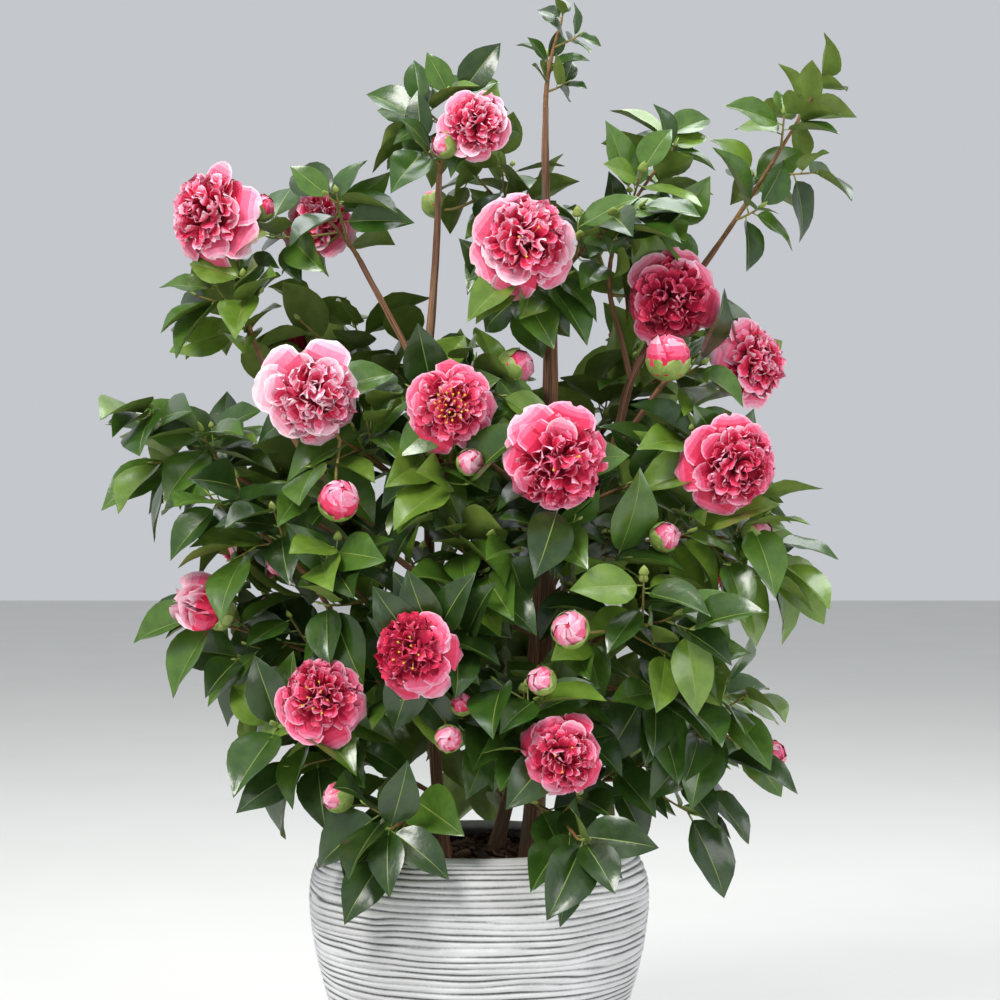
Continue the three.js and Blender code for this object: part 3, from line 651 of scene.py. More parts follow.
# What a leaf or a twig keeps clear of a bloom, in shares of its width: from how far behind its
# middle to how far in front, how far aside, and for a leaf how near at all. A bud has its own room
# in front, in metres. Two blooms that the photo shows half hidden leave less free at their sides
LEAF_VIEW = {"behind": -0.1, "front": 1.4, "aside": 0.5, "near": 0.3}
TWIG_VIEW = {"behind": -0.15, "front": 0.9, "aside": 0.45}
BUD_VIEW = {"front": 0.1, "aside": 0.42, "near": 0.62}
HALF_HIDDEN = {"upper_left": 0.2, "high_left": 0.4}


def in_view(places, at, way, low, high, aside):
    """Whether any place is in a round column of air in front of something."""
    way = np.array(way)
    away = places - np.array(at)
    depth = away @ way
    off = np.linalg.norm(away - np.outer(depth, way), axis=1)
    return ((depth > low) & (depth < high) & (off < aside)).any()


def before_bloom(places, bloom, view):
    aside = HALF_HIDDEN.get(bloom.mass.name, view["aside"]) * bloom.width
    low, high = view["behind"] * bloom.width, view["front"] * bloom.width
    return in_view(places, bloom.at, bloom.ahead, low, high, aside)


def too_near(places, flower, view):
    away = np.linalg.norm(places - np.array(flower.at), axis=1)
    return (away < view["near"] * flower.width).any()


def hides_bloom(places):
    """Whether a leaf with these places would hide a bloom or bud, or touch it."""
    for bloom in blooms:
        if before_bloom(places, bloom, LEAF_VIEW) or too_near(places, bloom, LEAF_VIEW):
            return True
    for bud in buds:
        aside = BUD_VIEW["aside"] * bud.width
        if in_view(places, bud.at, outward(bud.at), 0, BUD_VIEW["front"], aside):
            return True
        if too_near(places, bud, BUD_VIEW):
            return True
    return False


def crosses_bloom(places):
    return any(before_bloom(places, bloom, TWIG_VIEW) for bloom in blooms)


# The parts of a twig and of a stem that are looked at, with the number of steps
TWIG_CHECKED = (0.1, 1, 6)
STEM_CHECKED = (0.5, 1, 20)
STEM_STOPS_SHORT = 0.05


def twig_is_clear(twig):
    places = np.array([twig.path.at(share) for share in steadily(*TWIG_CHECKED)])
    return not crosses_bloom(places) and clear_of_pot(places)


def clear_until(path):
    """How far a stem runs before it would pass in front of a bloom."""
    for share in steadily(*STEM_CHECKED):
        if crosses_bloom(np.array([path.at(share)])):
            return share - STEM_STOPS_SHORT
    return 1


def leaf_shares(count):
    return steadily(LEAF["from"], LEAF["to"], count - 1)


def bears(twig, count):
    """Whether any leaf found room on a twig."""
    return any(tuple(twig.path.at(share)) in leafy for share in leaf_shares(count))


# Growing the shrub. By the height of its top, a mass is part of the skirt over the pot's rim, of
# the full crown, of the open crown from OPEN_FROM, or of the bare shoots from BARE_FROM
SKIRT_UNTIL = 352 * MM
OPEN_FROM = 800 * MM
BARE_FROM = 1060 * MM
# The share of the skirt's leaves that is left out, and from how far aside a mass has few shoots
SKIRT_THINNED = 0.25
OUTER_FROM = 170 * MM
# Masses that are full though they are high, and masses in shade, whose leaves are dealt darker greens as
# painted shade. Tones go from the darkest green
FULLER = ("upper_left", "high_front")
SHADE_PAINTED_MASSES = ("high_front", "low_front", "centre")
LEAF_TONES = (0, 1, 1, 2, 2, 3)
LIGHTEST = 3
# How far a leaf is swung to find room, and the places on it that keep clear
SWINGS = (0, 50, -50, 100, -100)
SAMPLES = [(0.4, 0), (0.7, 0), (1, 0), (0.45, 0.8), (0.45, -0.8), (0.75, 0.5), (0.75, -0.5)]


def side_shoots(mass, path, shares):
    """Finer shoots on a twig or stem: only the first where the crown is open, and none at its top."""
    finer = mass.finer
    made = []
    for i, share in enumerate(shares):
        root, ahead = path.at(share), path.ahead(share)
        splay = math.radians(SHOOT["splay"] + SHOOT["waver"] * (finer() - 0.5))
        way = tilted(ahead, sideways(ahead, 360 * finer()), splay)
        way += outward(root) * SHOOT["outward"] + UP * SHOOT["upward"]
        reach = mass.spread * SHOOT["reach"] * between((SHOOT["shortest"], 1), finer())
        turn = 360 * finer()
        outer = abs(mass.samples[-1].x) > OUTER_FROM
        dense = mass.name in FULLER or SKIRT_UNTIL < mass.top < OPEN_FROM and not (outer and i > 0)
        if dense or i == 0 and SKIRT_UNTIL < mass.top < BARE_FROM:
            made.append(straight_twig(root, way.normalized(), reach, turn, SHOOT, share))
    return made


def stem_leaves(mass):
    made = []
    shares = steadily(STEM_LEAF["from"], STEM_LEAF["to"], STEM_LEAF["count"] - 1)
    for i, share in enumerate(shares):
        face = sky_and_outlook(mass.stem.at(share))
        turn = GOLDEN_ANGLE * i + STEM_LEAF["waver"] * mass.finer()
        made.append(leaf_on(mass.stem, share, turn, STEM_LEAF["opens"], mass.finer, face))
    return made


candidates = {name: [] for name in masses}
for bloom in blooms:
    candidates[bloom.mass.name].append(leaves_behind(bloom))
shoots = {}
for mass in masses.values():
    mass.ends = clear_until(mass.stem)
    kept = []
    for twig in mass.twigs:
        spray = leaves_of(twig, mass.draw)
        if twig.starts <= mass.ends and twig_is_clear(twig):
            kept.append(twig)
            candidates[mass.name].append(spray)
    mass.twigs = kept
    made = [shoot for twig in mass.twigs for shoot in side_shoots(mass, twig.path, SHOOT["at"])]
    made += side_shoots(mass, mass.stem, SHOOT["on_stem"]) if mass.top < OPEN_FROM else []
    shoots[mass.name] = [shoot for shoot in made if twig_is_clear(shoot)]
    for shoot in shoots[mass.name]:
        candidates[mass.name].append(leaves_of(shoot, mass.finer, SHOOT["leaves"]))
    candidates[mass.name].append(stem_leaves(mass))

# The leaves of each mass that wait for a place, with their form and tone
leaves = []
leaf_places = np.zeros((0, len(SAMPLES), 3))
blades = np.zeros((0, len(BLADE_PLACES), 3))
queues = {}
for name, sprays in candidates.items():
    finer = masses[name].finer
    queue = []
    for spray in sprays:
        tone = LEAF_TONES[int(finer() * len(LEAF_TONES))]
        # Masses in shade get greens one tone darker as painted shade, and the skirt over the pot gets
        # greens two tones darker
        over_pot = masses[name].top < SKIRT_UNTIL
        if over_pot or name in SHADE_PAINTED_MASSES:
            tone -= 1 + over_pot
        for leaf in spray:
            if over_pot and finer() < SKIRT_THINNED:
                continue
            leaf.shape = int(finer() * len(LEAF_FORMS))
            leaf.length *= TIGHT.get(name, 1)
            leaf.width *= TIGHT.get(name, 1)
            leaf.tone = min(LIGHTEST, max(0, tone + int(finer() * 3) - 1))
            queue.append(leaf)
    queues[name] = queue


def swung(leaf, swing):
    """The same leaf, turned about the upright through its root."""
    along = Quaternion(UP, math.radians(swing)) @ leaf.along
    return replace(leaf, along=along, face=square_to(leaf.face, along))


def room_for(leaf, mass):
    """A leaf's places and its blade, or None where something is in its way."""
    places = np.array([leaf_place(leaf, *sample) for sample in SAMPLES])
    if hides_bloom(places) or not clear_of_pot(places) or not in_reach(places, REACHES[mass.name]):
        return None
    if not clear_of_limbs(places) or not in_own_space(leaf, mass):
        return None
    blade = blade_of(leaf)[None]
    near = np.linalg.norm(blades.mean(axis=1) - blade.mean(axis=1), axis=1) < leaf.length
    if near.any():
        between_places = leaf_places[near][:, :, None] - places[None, None]
        gaps = np.linalg.norm(between_places, axis=3).min(axis=(1, 2))
        close = blades[near][gaps < CLOSE]
        if gaps.min() < LEAF_ROOM or passes_through(blade, close) or passes_through(close, blade):
            return None
    return places[None], blade


# The masses take turns, one leaf each, so that none crowds out its neighbours. The skirt's leaves
# try the outward swings first
for i in range(max(map(len, queues.values()))):
    for name, queue in queues.items():
        if i >= len(queue):
            continue
        mass = masses[name]
        swings = SWINGS if mass.top < BARE_FROM else SWINGS[:1]
        turned = [swung(queue[i], swing) for swing in swings]
        if mass.top < SKIRT_UNTIL:
            turned.sort(key=lambda leaf: -leaf.along.dot(outward(leaf.root)))
        for leaf in turned:
            room = room_for(leaf, mass)
            if room:
                leaf_places = np.vstack([leaf_places, room[0]])
                blades = np.vstack([blades, room[1]])
                leaves.append(leaf)
                break

# Shoots that no leaf found room on are left out
leafy = {tuple(leaf.root) for leaf in leaves}
for mass in masses.values():
    shoots[mass.name] = [shoot for shoot in shoots[mass.name] if bears(shoot, SHOOT["leaves"])]


# Node trees
class Sum:
    """A number in a node tree. Sums and products with it add Math nodes."""

    def __init__(self, tree, socket):
        self.tree, self.socket = tree, socket

    def maths(self, operation, *values):
        made = self.tree.node("ShaderNodeMath", {"operation": operation}, dict(enumerate(values)))
        return Sum(self.tree, made.outputs[0])

    def __add__(self, other):
        return self.maths("ADD", self, other)

    def __radd__(self, other):
        return self.maths("ADD", other, self)

    def __sub__(self, other):
        return self.maths("SUBTRACT", self, other)

    def __rsub__(self, other):
        return self.maths("SUBTRACT", other, self)

    def __mul__(self, other):
        return self.maths("MULTIPLY", self, other)

    def __rmul__(self, other):
        return self.maths("MULTIPLY", other, self)

    def __truediv__(self, other):
        return self.maths("DIVIDE", self, other)

    def __rtruediv__(self, other):
        return self.maths("DIVIDE", other, self)

    def __pow__(self, other):
        return self.maths("POWER", self, other)

    def __abs__(self):
        return self.maths("ABSOLUTE", self)

    def sine(self):
        return self.maths("SINE", self)

    def cosine(self):
        return self.maths("COSINE", self)

    def smoothly(self, low, high):
        """0 below `low`, 1 above `high`, and an easy slope between."""
        made = self.tree.node("ShaderNodeMapRange", {"interpolation_type": "SMOOTHSTEP"},
                              {"Value": self, "From Min": low, "From Max": high})
        return Sum(self.tree, made.outputs[0])


class Tree:
    """A node tree that is written as sums and as nodes with their settings and sockets."""

    def __init__(self, nodes_of):
        self.nodes_of = nodes_of

    def node(self, kind, settings=None, sockets=None):
        made = self.nodes_of.nodes.new(kind)
        for key, value in (settings or {}).items():
            setattr(made, key, value)
        for key, value in (sockets or {}).items():
            self.fill(self.socket_of(made, key), value)
        return made

    @staticmethod
    def socket_of(node, key):
        if isinstance(key, int):
            return node.inputs[key]
        fitting = [s for s in node.inputs if s.enabled and key in (s.identifier, s.name)]
        return fitting[0]

    def fill(self, socket, value):
        if isinstance(value, Sum):
            value = value.socket
        if isinstance(value, bpy.types.NodeSocket):
            self.nodes_of.links.new(value, socket)
        else:
            socket.default_value = value

    def sum(self, kind, settings=None, sockets=None, output=0):
        return Sum(self, self.node(kind, settings, sockets).outputs[output])

    def noise(self, vector, scale, detail=2.0, roughness=0.5):
        sockets = {"Scale": scale, "Detail": detail, "Roughness": roughness}
        if vector is not None:
            sockets["Vector"] = vector
        return self.sum("ShaderNodeTexNoise", None, sockets, "Fac")

    def vector(self, x, y, z):
        return self.node("ShaderNodeCombineXYZ", None, {"X": x, "Y": y, "Z": z}).outputs[0]

    def stretched(self, vector, x, y, z):
        made = self.node("ShaderNodeVectorMath", {"operation": "MULTIPLY"}, {0: vector, 1: (x, y, z)})
        return made.outputs[0]


class Finish(Tree):
    """A procedural material, from its fixed values on the shader's own sockets."""

    def __init__(self, name, color, roughness, **values):
        self.material = bpy.data.materials.new(name)
        self.material.use_nodes = True
        super().__init__(self.material.node_tree)
        self.shader = self.nodes_of.nodes["Principled BSDF"]
        self.material.diffuse_color = (*color, 1)
        self.fill(self.shader.inputs["Base Color"], (*color, 1))
        self.fill(self.shader.inputs["Roughness"], roughness)
        for key, value in values.items():
            self.fill(self.shader.inputs[key.replace("_", " ").title().replace("Ior", "IOR")], value)

    def place(self):
        return self.node("ShaderNodeTexCoord").outputs["Object"]

    def attribute(self, name, output):
        return self.node("ShaderNodeAttribute", {"attribute_name": name}).outputs[output]

    def mixed(self, share, first, second):
        made = self.node("ShaderNodeMix", {"data_type": "RGBA"})
        for key, value in (("Factor_Float", share), ("A_Color", first), ("B_Color", second)):
            value = (*value, 1) if isinstance(value, tuple) else value
            self.fill(self.socket_of(made, key), value)
        return next(s for s in made.outputs if s.identifier == "Result_Color")

    def color(self, link):
        self.fill(self.shader.inputs["Base Color"], link)

    def rough(self, link):
        self.fill(self.shader.inputs["Roughness"], link)

    def bumps(self, height, strength, distance):
        made = self.node("ShaderNodeBump", None,
                         {"Height": height, "Strength": strength, "Distance": distance})
        self.fill(self.shader.inputs["Normal"], made.outputs[0])


def tint(text):
    """A colour for the shader from its screen value, such as 3c6a2c."""
    parts = [int(text[i:i + 2], 16) / 255 for i in (0, 2, 4)]
    return tuple(c / 12.92 if c <= 0.04045 else ((c + 0.055) / 1.055) ** 2.4 for c in parts)


def into_scene(name, data):
    made = bpy.data.objects.new(name, data)
    bpy.context.scene.collection.objects.link(made)
    return made


class Growth(Tree):
    """A tree of Geometry Nodes with named inputs, which makes a plain mesh."""

    KINDS = {int: "NodeSocketInt", float: "NodeSocketFloat"}

    def __init__(self, name, **inputs):
        self.group = bpy.data.node_groups.new(name, "GeometryNodeTree")
        super().__init__(self.group)
        self.name, self.inputs = name, inputs
        face = self.group.interface
        face.new_socket("Geometry", in_out="INPUT", socket_type="NodeSocketGeometry")
        face.new_socket("Geometry", in_out="OUTPUT", socket_type="NodeSocketGeometry")
        for key, value in inputs.items():
            face.new_socket(key, in_out="INPUT", socket_type=self.KINDS[type(value)])
        self.start = self.group.nodes.new("NodeGroupInput")
        self.end = self.group.nodes.new("NodeGroupOutput")
        self.geometry = self.start.outputs["Geometry"]

    def given(self, name):
        return Sum(self, self.start.outputs[name])

    def named(self, name, kind="FLOAT"):
        made = self.node("GeometryNodeInputNamedAttribute", {"data_type": kind}, {"Name": name})
        return next(s for s in made.outputs if s.enabled)

    def then(self, kind, settings=None, sockets=None, into="Geometry"):
        """Passes the geometry through one more node."""
        made = self.node(kind, settings, {into: self.geometry, **(sockets or {})})
        self.geometry = made.outputs[0]
        return made

    def store(self, name, value, kind="FLOAT"):
        self.then("GeometryNodeStoreNamedAttribute", {"data_type": kind, "domain": "POINT"},
                  {"Name": name, "Value": value})

    def circle(self):
        sockets = {"Resolution": self.given("Sides"), "Radius": 1.0}
        return self.node("GeometryNodeCurvePrimitiveCircle", None, sockets).outputs[0]

    def swept(self, profile):
        """Sweeps a profile along the lines, as thick as they say."""
        sockets = {"Profile Curve": profile, "Scale": self.named("thick"), "Fill Caps": True}
        self.then("GeometryNodeCurveToMesh", None, sockets, into="Curve")

    def pushed(self, rise):
        """Moves the surface outward by a sum."""
        normal = self.node("GeometryNodeInputNormal").outputs["Normal"]
        moved = self.node("ShaderNodeVectorMath", {"operation": "SCALE"},
                          {"Vector": normal, "Scale": rise})
        self.then("GeometryNodeSetPosition", None, {"Offset": moved.outputs[0]})

    def smooth(self):
        self.then("GeometryNodeSetShadeSmooth", {"domain": "FACE"})

    def finished(self, finishes, key=None):
        """Realizes what is left to realize, and deals out the materials from each one's number on."""
        self.then("GeometryNodeRealizeInstances")
        for i, (number, finish) in enumerate(finishes):
            sockets = {"Material": finish.material}
            if i and key is not None:
                greater = {"data_type": "FLOAT", "operation": "GREATER_THAN"}
                over = self.node("FunctionNodeCompare", greater, {0: key, 1: number - 0.5})
                sockets["Selection"] = over.outputs[0]
            self.then("GeometryNodeSetMaterial", None, sockets)
        self.fill(self.end.inputs["Geometry"], self.geometry)

    def grow(self, name, source, kept=()):
        """Runs the tree on a mesh, and gives the plain piece that comes out."""
        holder = into_scene(name, source)
        modifier = holder.modifiers.new(self.name, "NODES")
        modifier.node_group = self.group
        for socket in self.group.interface.items_tree:
            if socket.in_out == "INPUT" and socket.name in self.inputs:
                modifier[socket.identifier] = self.inputs[socket.name]
        graph = bpy.context.evaluated_depsgraph_get()
        grown = bpy.data.meshes.new_from_object(
            holder.evaluated_get(graph), preserve_all_data_layers=True, depsgraph=graph)
        holder.modifiers.clear()
        holder.data = grown
        grown.name = name
        own = {"position", "sharp_face", "sharp_edge", "material_index", *kept}
        names = [layer.name for layer in grown.attributes]
        for key in names:
            if not key.startswith(".") and key not in own:
                grown.attributes.remove(grown.attributes[key])
        return holder


def plain_mesh(name, places, edges=(), faces=(), **attributes):
    """A mesh from its places, with attributes as (kind, domain, values)."""
    mesh = bpy.data.meshes.new(name)
    mesh.from_pydata([tuple(p) for p in places], edges, faces)
    for key, (kind, domain, values) in attributes.items():
        layer = mesh.attributes.new(key, kind, domain)
        field = "vector" if kind == "FLOAT_VECTOR" else "value"
        numbers = np.array(values, dtype=int if kind == "INT" else float)
        layer.data.foreach_set(field, numbers.ravel())
    return mesh


def shape_mesh(name, places, faces, parts, smooth=True):
    """A small shape. The part of each face says which finish it gets."""
    mesh = plain_mesh(name, places, (), faces, part=("INT", "FACE", parts))
    if smooth:
        mesh.shade_smooth()
    return mesh


def ring_pairs(first, count):
    """The numbers of neighbours on a closed ring of places."""
    return [(first + k, first + (k + 1) % count) for k in range(count)]


def band(first, count):
    """The faces between a ring of places and the next one."""
    return [[a, a + count, b + count, b] for a, b in ring_pairs(first, count)]


def around_length(half, along, count):
    """A ring of places round the length of a shape."""
    turns = [math.radians(360 / count * k) for k in range(count)]
    return [(half * math.cos(turn), along, half * math.sin(turn)) for turn in turns]


def settled(piece, slot, *nodes):
    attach(piece, "root")
    if nodes:
        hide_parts(*nodes)


def scattered(name, placed, shapes, finishes, slot, *nodes):
    """Sets a shape at each place, turned and sized as that says, and joins them all."""
    source = plain_mesh(
        name + "_places", [p.root for p in placed],
        along=("FLOAT_VECTOR", "POINT", [tuple(p.along) for p in placed]),
        face=("FLOAT_VECTOR", "POINT", [tuple(p.face) for p in placed]),
        size=("FLOAT_VECTOR", "POINT", [(p.width, p.length, p.length) for p in placed]),
        shape=("INT", "POINT", [p.shape for p in placed]),
        tone=("INT", "POINT", [p.tone for p in placed]),
    )
    folder = bpy.data.collections.new(name + "_shapes")
    for i, shape in enumerate(shapes):
        folder.objects.link(bpy.data.objects.new(f"{name}_shape_{i:02d}", shape))
    tree = Growth("Scatter " + name)
    shelf = tree.node("GeometryNodeCollectionInfo", None,
                      {"Collection": folder, "Separate Children": True, "Reset Children": True})
    turned = tree.node("FunctionNodeAxesToRotation", {"primary_axis": "Y", "secondary_axis": "Z"},
                       {"Primary Axis": tree.named("along", "FLOAT_VECTOR"),
                        "Secondary Axis": tree.named("face", "FLOAT_VECTOR")})
    sockets = {"Instance": shelf.outputs[0], "Pick Instance": True,
               "Instance Index": tree.named("shape", "INT"),
               "Rotation": turned.outputs[0], "Scale": tree.named("size", "FLOAT_VECTOR")}
    tree.then("GeometryNodeInstanceOnPoints", None, sockets, into="Points")
    part, tone = (Sum(tree, tree.named(key, "INT")) for key in ("part", "tone"))
    tree.finished(finishes, (part + tone).socket)
    piece = tree.grow(name, source)
    for shape in list(folder.objects):
        bpy.data.objects.remove(shape)
    bpy.data.collections.remove(folder)
    settled(piece, slot, *nodes)


def lines_mesh(name, lines, key, kind):
    """A mesh of separate lines, each given as its places, its radii and one more value."""
    places, edges, thick, values = [], [], [], []
    for line, radii, value in lines:
        first = len(places)
        places += line
        thick += radii
        values += [value] * len(line)
        edges += [(i, i + 1) for i in range(first, len(places) - 1)]
    more = {"thick": ("FLOAT", "POINT", thick), key: (kind, "POINT", values)}
    return plain_mesh(name + "_lines", places, edges, **more)


def tubes(name, lines, sides, finishes, slot):
    """Tubes along lines of (places, radii, tone), joined."""
    tree = Growth("Tubes " + name, Sides=sides)
    tree.then("GeometryNodeMeshToCurve", into="Mesh")
    tree.swept(tree.circle())
    tree.smooth()
    tree.finished(finishes, tree.named("tone", "INT"))
    settled(tree.grow(name, lines_mesh(name, lines, "tone", "INT")), slot)


# Finishes
def mottled(name, dark, light, roughness, cells, bumps, **values):
    """A finish that wanders between two colours over cells a metre, with bumps as (cells, height)."""
    finish = Finish(name, tint(dark), roughness, **values)
    spot = finish.place()
    blotch = finish.noise(spot, cells, 3.0, 0.6)
    finish.color(finish.mixed(blotch.smoothly(0.3, 0.7), tint(dark), tint(light)))
    relief = finish.noise(spot, bumps[0], 2.0, 0.6)
    finish.bumps(relief, 0.5, bumps[1])
    return finish


# The gloss of leaves, and their grain: cells a metre, and bumps as (cells, height)
LEAF_COAT = {"specular_ior_level": 0.45, "coat_weight": 0.5, "coat_roughness": 0.18}
LEAF_GRAIN = (60.0, (130.0, 0.9 * MM))
leaf_greens = [
    mottled("leaf_deep_green", "213a14", "2f4a1a", 0.32, *LEAF_GRAIN, **LEAF_COAT),
    mottled("leaf_dark_green", "2d4d17", "3d5d20", 0.30, *LEAF_GRAIN, **LEAF_COAT),
    mottled("leaf_green", "40611e", "527428", 0.30, *LEAF_GRAIN, **LEAF_COAT),
    mottled("leaf_light_green", "5a7a24", "6f8d32", 0.34, *LEAF_GRAIN, **LEAF_COAT),
]
leaf_rib = mottled("leaf_rib", "748a3e", "86984a", 0.45, 90.0, (300.0, 0.2 * MM))
leaf_under = mottled("leaf_underside", "62782f", "738a3c", 0.6, 60.0, (160.0, 0.5 * MM),
                     specular_ior_level=0.35)
shoot_green = mottled("shoot_green", "8a9c46", "9cae56", 0.5, 90.0, (300.0, 0.2 * MM))
twig_brown = mottled("twig_brown", "6e4c30", "93693f", 0.7, 140.0, (420.0, 0.5 * MM))
twig_olive = mottled("twig_olive", "7b6f3c", "9a8446", 0.6, 140.0, (420.0, 0.4 * MM))

PETAL_TINTS = ["bb1241", "da2150", "ea3b64", "ef628a", "f38cab", "f5b2c8", "f7cddb", "fbe4ec"]
PETAL_DEEPER = ["a60d38", "cb1946", "de2e58", "e7537b", "ed7c9e", "f1a4bd", "f4c0d2", "f8d9e3"]
PETAL_COAT = {"specular_ior_level": 0.3, "sheen_weight": 0.15}
petal_pinks = [
    mottled(f"petal_pink_{i}", deeper, text, 0.5, 240.0, (420.0, 0.3 * MM), **PETAL_COAT)
    for i, (deeper, text) in enumerate(zip(PETAL_DEEPER, PETAL_TINTS))
]
pollen = Finish("pollen_yellow", tint("e8b93a"), 0.7)
filament = Finish("filament_cream", tint("f0dca0"), 0.5)


# Shapes of leaves, one long and one wide: cross-sections as (place along, share of the half width),
# each with six places across the top and three across the underside
LEAF_STATIONS = [(0.1, 0), (0.16, 0.4), (0.25, 0.74), (0.36, 0.95), (0.48, 1), (0.6, 0.94),
                 (0.72, 0.77), (0.83, 0.5), (0.93, 0.2), (1, 0)]
LEAF_ACROSS = (-1, -0.52, -0.024, 0.024, 0.52, 1)
LEAF_RING = len(LEAF_ACROSS) + 3
BLADE, RIB, UNDERSIDE = 0, 10, 20
LEAF_STRIPS = (BLADE, BLADE, RIB, BLADE, BLADE, UNDERSIDE, UNDERSIDE, UNDERSIDE, UNDERSIDE)
# Heights on a blade as shares of its length: the fields between rib and edge rise by the fold, by
# the quilting of every second cross-section, and a little more where the leaf is wide
FIELD_FOLDS = 0.52
QUILTED, BETWEEN_QUILTS = 0.7, -0.1
FIELD_RISES = 0.014
RIB_SUNK = -0.004
FIELD_THICK = 0.012
RIB_THICK = 0.014
UNDER_FIELD = 0.55
# The waves of the two edges, which are out of step by EDGES_APART radians
EDGE_WAVES = 9
EDGES_APART = 2
# The stalk: a three-sided wedge from the twig into the blade
STALK_SPAN = (-0.005, 0.115)
STALK_RADIUS = 0.013
STALK_FLAT = 1.7


def leaf_shape(name, fold, curl, wave, twist, quilt):
    """A leaf one long and one wide: a closed thin blade with a fold, a sunk rib and raised fields."""
    places, faces, parts = [], [], []

    def put(along, across, half, lift):
        turned = twist * (along - TWISTS_AT) * across * half * 0.5
        return (across * half / 2, along, lift - bent(curl, along) + turned)

    rings = []
    for i, (along, half) in enumerate(LEAF_STATIONS):
        if half == 0:
            rings.append([len(places)] * LEAF_RING)
            places.append(put(along, 0, 0, 0))
            continue
        rings.append(list(range(len(places), len(places) + LEAF_RING)))
        quilted = quilt * (QUILTED if i % 2 else BETWEEN_QUILTS)
        field = fold * FIELD_FOLDS * half * 0.5 + quilted + FIELD_RISES * half
        edges = [fold * half * 0.5 + wave * math.sin(EDGE_WAVES * along + apart) * half
                 for apart in (0, EDGES_APART)]
        lifts = [edges[0], field, RIB_SUNK, RIB_SUNK, field, edges[1]]
        under = field - FIELD_THICK
        section = [*zip(LEAF_ACROSS, lifts), (UNDER_FIELD, under), (0, -RIB_THICK), (-UNDER_FIELD, under)]
        places += [put(along, across, half, lift) for across, lift in section]
    for lower, upper in zip(rings, rings[1:]):
        for (a, b), part in zip(ring_pairs(0, LEAF_RING), LEAF_STRIPS):
            corners = [lower[a], lower[b], upper[b], upper[a]]
            if part == UNDERSIDE:
                corners = corners[1:] + corners[:1]
            corners = [c for k, c in enumerate(corners) if c not in corners[:k]]
            faces.append(corners)
            parts.append(part)
    first = len(places)
    for along in STALK_SPAN:
        for k in range(3):
            angle = math.radians(120 * k + 90)
            places.append((STALK_RADIUS * STALK_FLAT * math.cos(angle), along,
                           STALK_RADIUS * math.sin(angle) - curl * along * along))
    faces += [[a, b, b + 3, a + 3] for a, b in ring_pairs(first, 3)]
    faces += [[first + 2, first + 1, first], [first + 3, first + 4, first + 5]]
    parts += [RIB] * 5
    mesh = shape_mesh(name, places, faces, parts)
    # The edge between the blade and its underside is sharp
    kinds = {}
    for face in mesh.polygons:
        for key in face.edge_keys:
            kinds.setdefault(key, set()).add(parts[face.index])
    meeting = [kinds.get(tuple(edge.vertices), ()) for edge in mesh.edges]
    sharp = [UNDERSIDE in kinds_here and len(kinds_here) > 1 for kinds_here in meeting]
    mesh.edges.foreach_set("use_edge_sharp", sharp)
    return mesh


leaf_shapes = [leaf_shape(*form) for form in LEAF_FORMS]
leaf_finishes = [*enumerate(leaf_greens), (RIB, leaf_rib), (UNDERSIDE, leaf_under)]


# Shapes of petals. A face's part says how pale it is, from the deep red base to the white edge
PALEST = 5


def petal_shape(name, rows, across, halves, parts, pale_rim, bend, lift, rim):
    """A petal one long and one wide. `bend` is where it turns back, and by how many degrees."""
    places, faces, tones = [], [], []
    along, drop = 0.0, 0.0
    for i, (row, half) in enumerate(zip(rows, halves)):
        turned = math.radians(bend[1]) * max(0, (row - bend[0]) / (1 - bend[0]))
        if i:
            along += (row - rows[i - 1]) * math.cos(turned)
            drop += (row - rows[i - 1]) * math.sin(turned)
        for side in across:
            back, rise = rim(side) * row ** 3, lift(row, side)
            places.append((side * half / 2, along - back * math.cos(turned) + rise * math.sin(turned),
                           rise * math.cos(turned) - drop + back * math.sin(turned)))
    wide = len(across)
    for i in range(len(rows) - 1):
        for k in range(wide - 1):
            a = i * wide + k
            faces.append([a, a + 1, a + wide + 1, a + wide])
            inward = min(k, wide - 2 - k)
            paler = pale_rim[inward] if inward < len(pale_rim) and i >= len(rows) // 2 - 1 else 0
            tones.append(min(parts[i] + paler, PALEST))
    return shape_mesh(name, places, faces, tones)


# Broad petals: rows along and places across, the width at each row, and each row's paleness
GUARD_ROWS = (0, 0.22, 0.44, 0.64, 0.8, 0.9, 0.965, 1)
GUARD_ACROSS = (-1, -0.92, -0.76, -0.3, 0.3, 0.76, 0.92, 1)
GUARD_HALVES = (0.16, 0.44, 0.8, 1, 0.95, 0.77, 0.5, 0.22)
GUARD_PARTS = (-1, 0, 1, 2, 3, 4, 5)


def guard_petal(name, cup, bend, wave, phase, notch, bends_from=0.5):
    def lift(along, side):
        curve = cup * math.sin(math.pi * 0.85 * along)
        sides = side * side * (0.14 * (1 - along) - 0.09 * along * along)
        return curve + sides + wave * math.sin(2.6 * side + phase) * along ** 2

    def rim(side):
        return notch * math.exp(-(side / 0.5) ** 2)

    bend = (bends_from, bend)
    return petal_shape(name, GUARD_ROWS, GUARD_ACROSS, GUARD_HALVES, GUARD_PARTS, (3, 1), bend, lift, rim)


guard_shapes = [
    guard_petal("guard_round", 0.12, 30, 0.040, 0.4, 0.03),
    guard_petal("guard_rolled", 0.14, 62, 0.055, 2.1, 0.0),
    guard_petal("guard_notched", 0.10, 12, 0.050, 3.9, 0.08),
    guard_petal("guard_cupped", 0.18, -14, 0.060, 5.2, 0.02),
    guard_petal("guard_closing", 0.06, -112, 0.030, 1.0, 0.0, 0.25),
]
OPEN_GUARDS = 4

# The ruffled petals of the dome, in the same way
RUFFLES_BEND_FROM = 0.45
RUFFLE_ROWS = (0, 0.42, 0.62, 0.77, 0.88, 0.95, 1)
RUFFLE_ACROSS = (-1, -0.76, -0.28, 0.28, 0.76, 1)
RUFFLE_HALVES = (0.14, 0.38, 0.72, 0.97, 1, 0.86, 0.6)
RUFFLE_PARTS = (-3, -1, 0, 1, 3, 4)


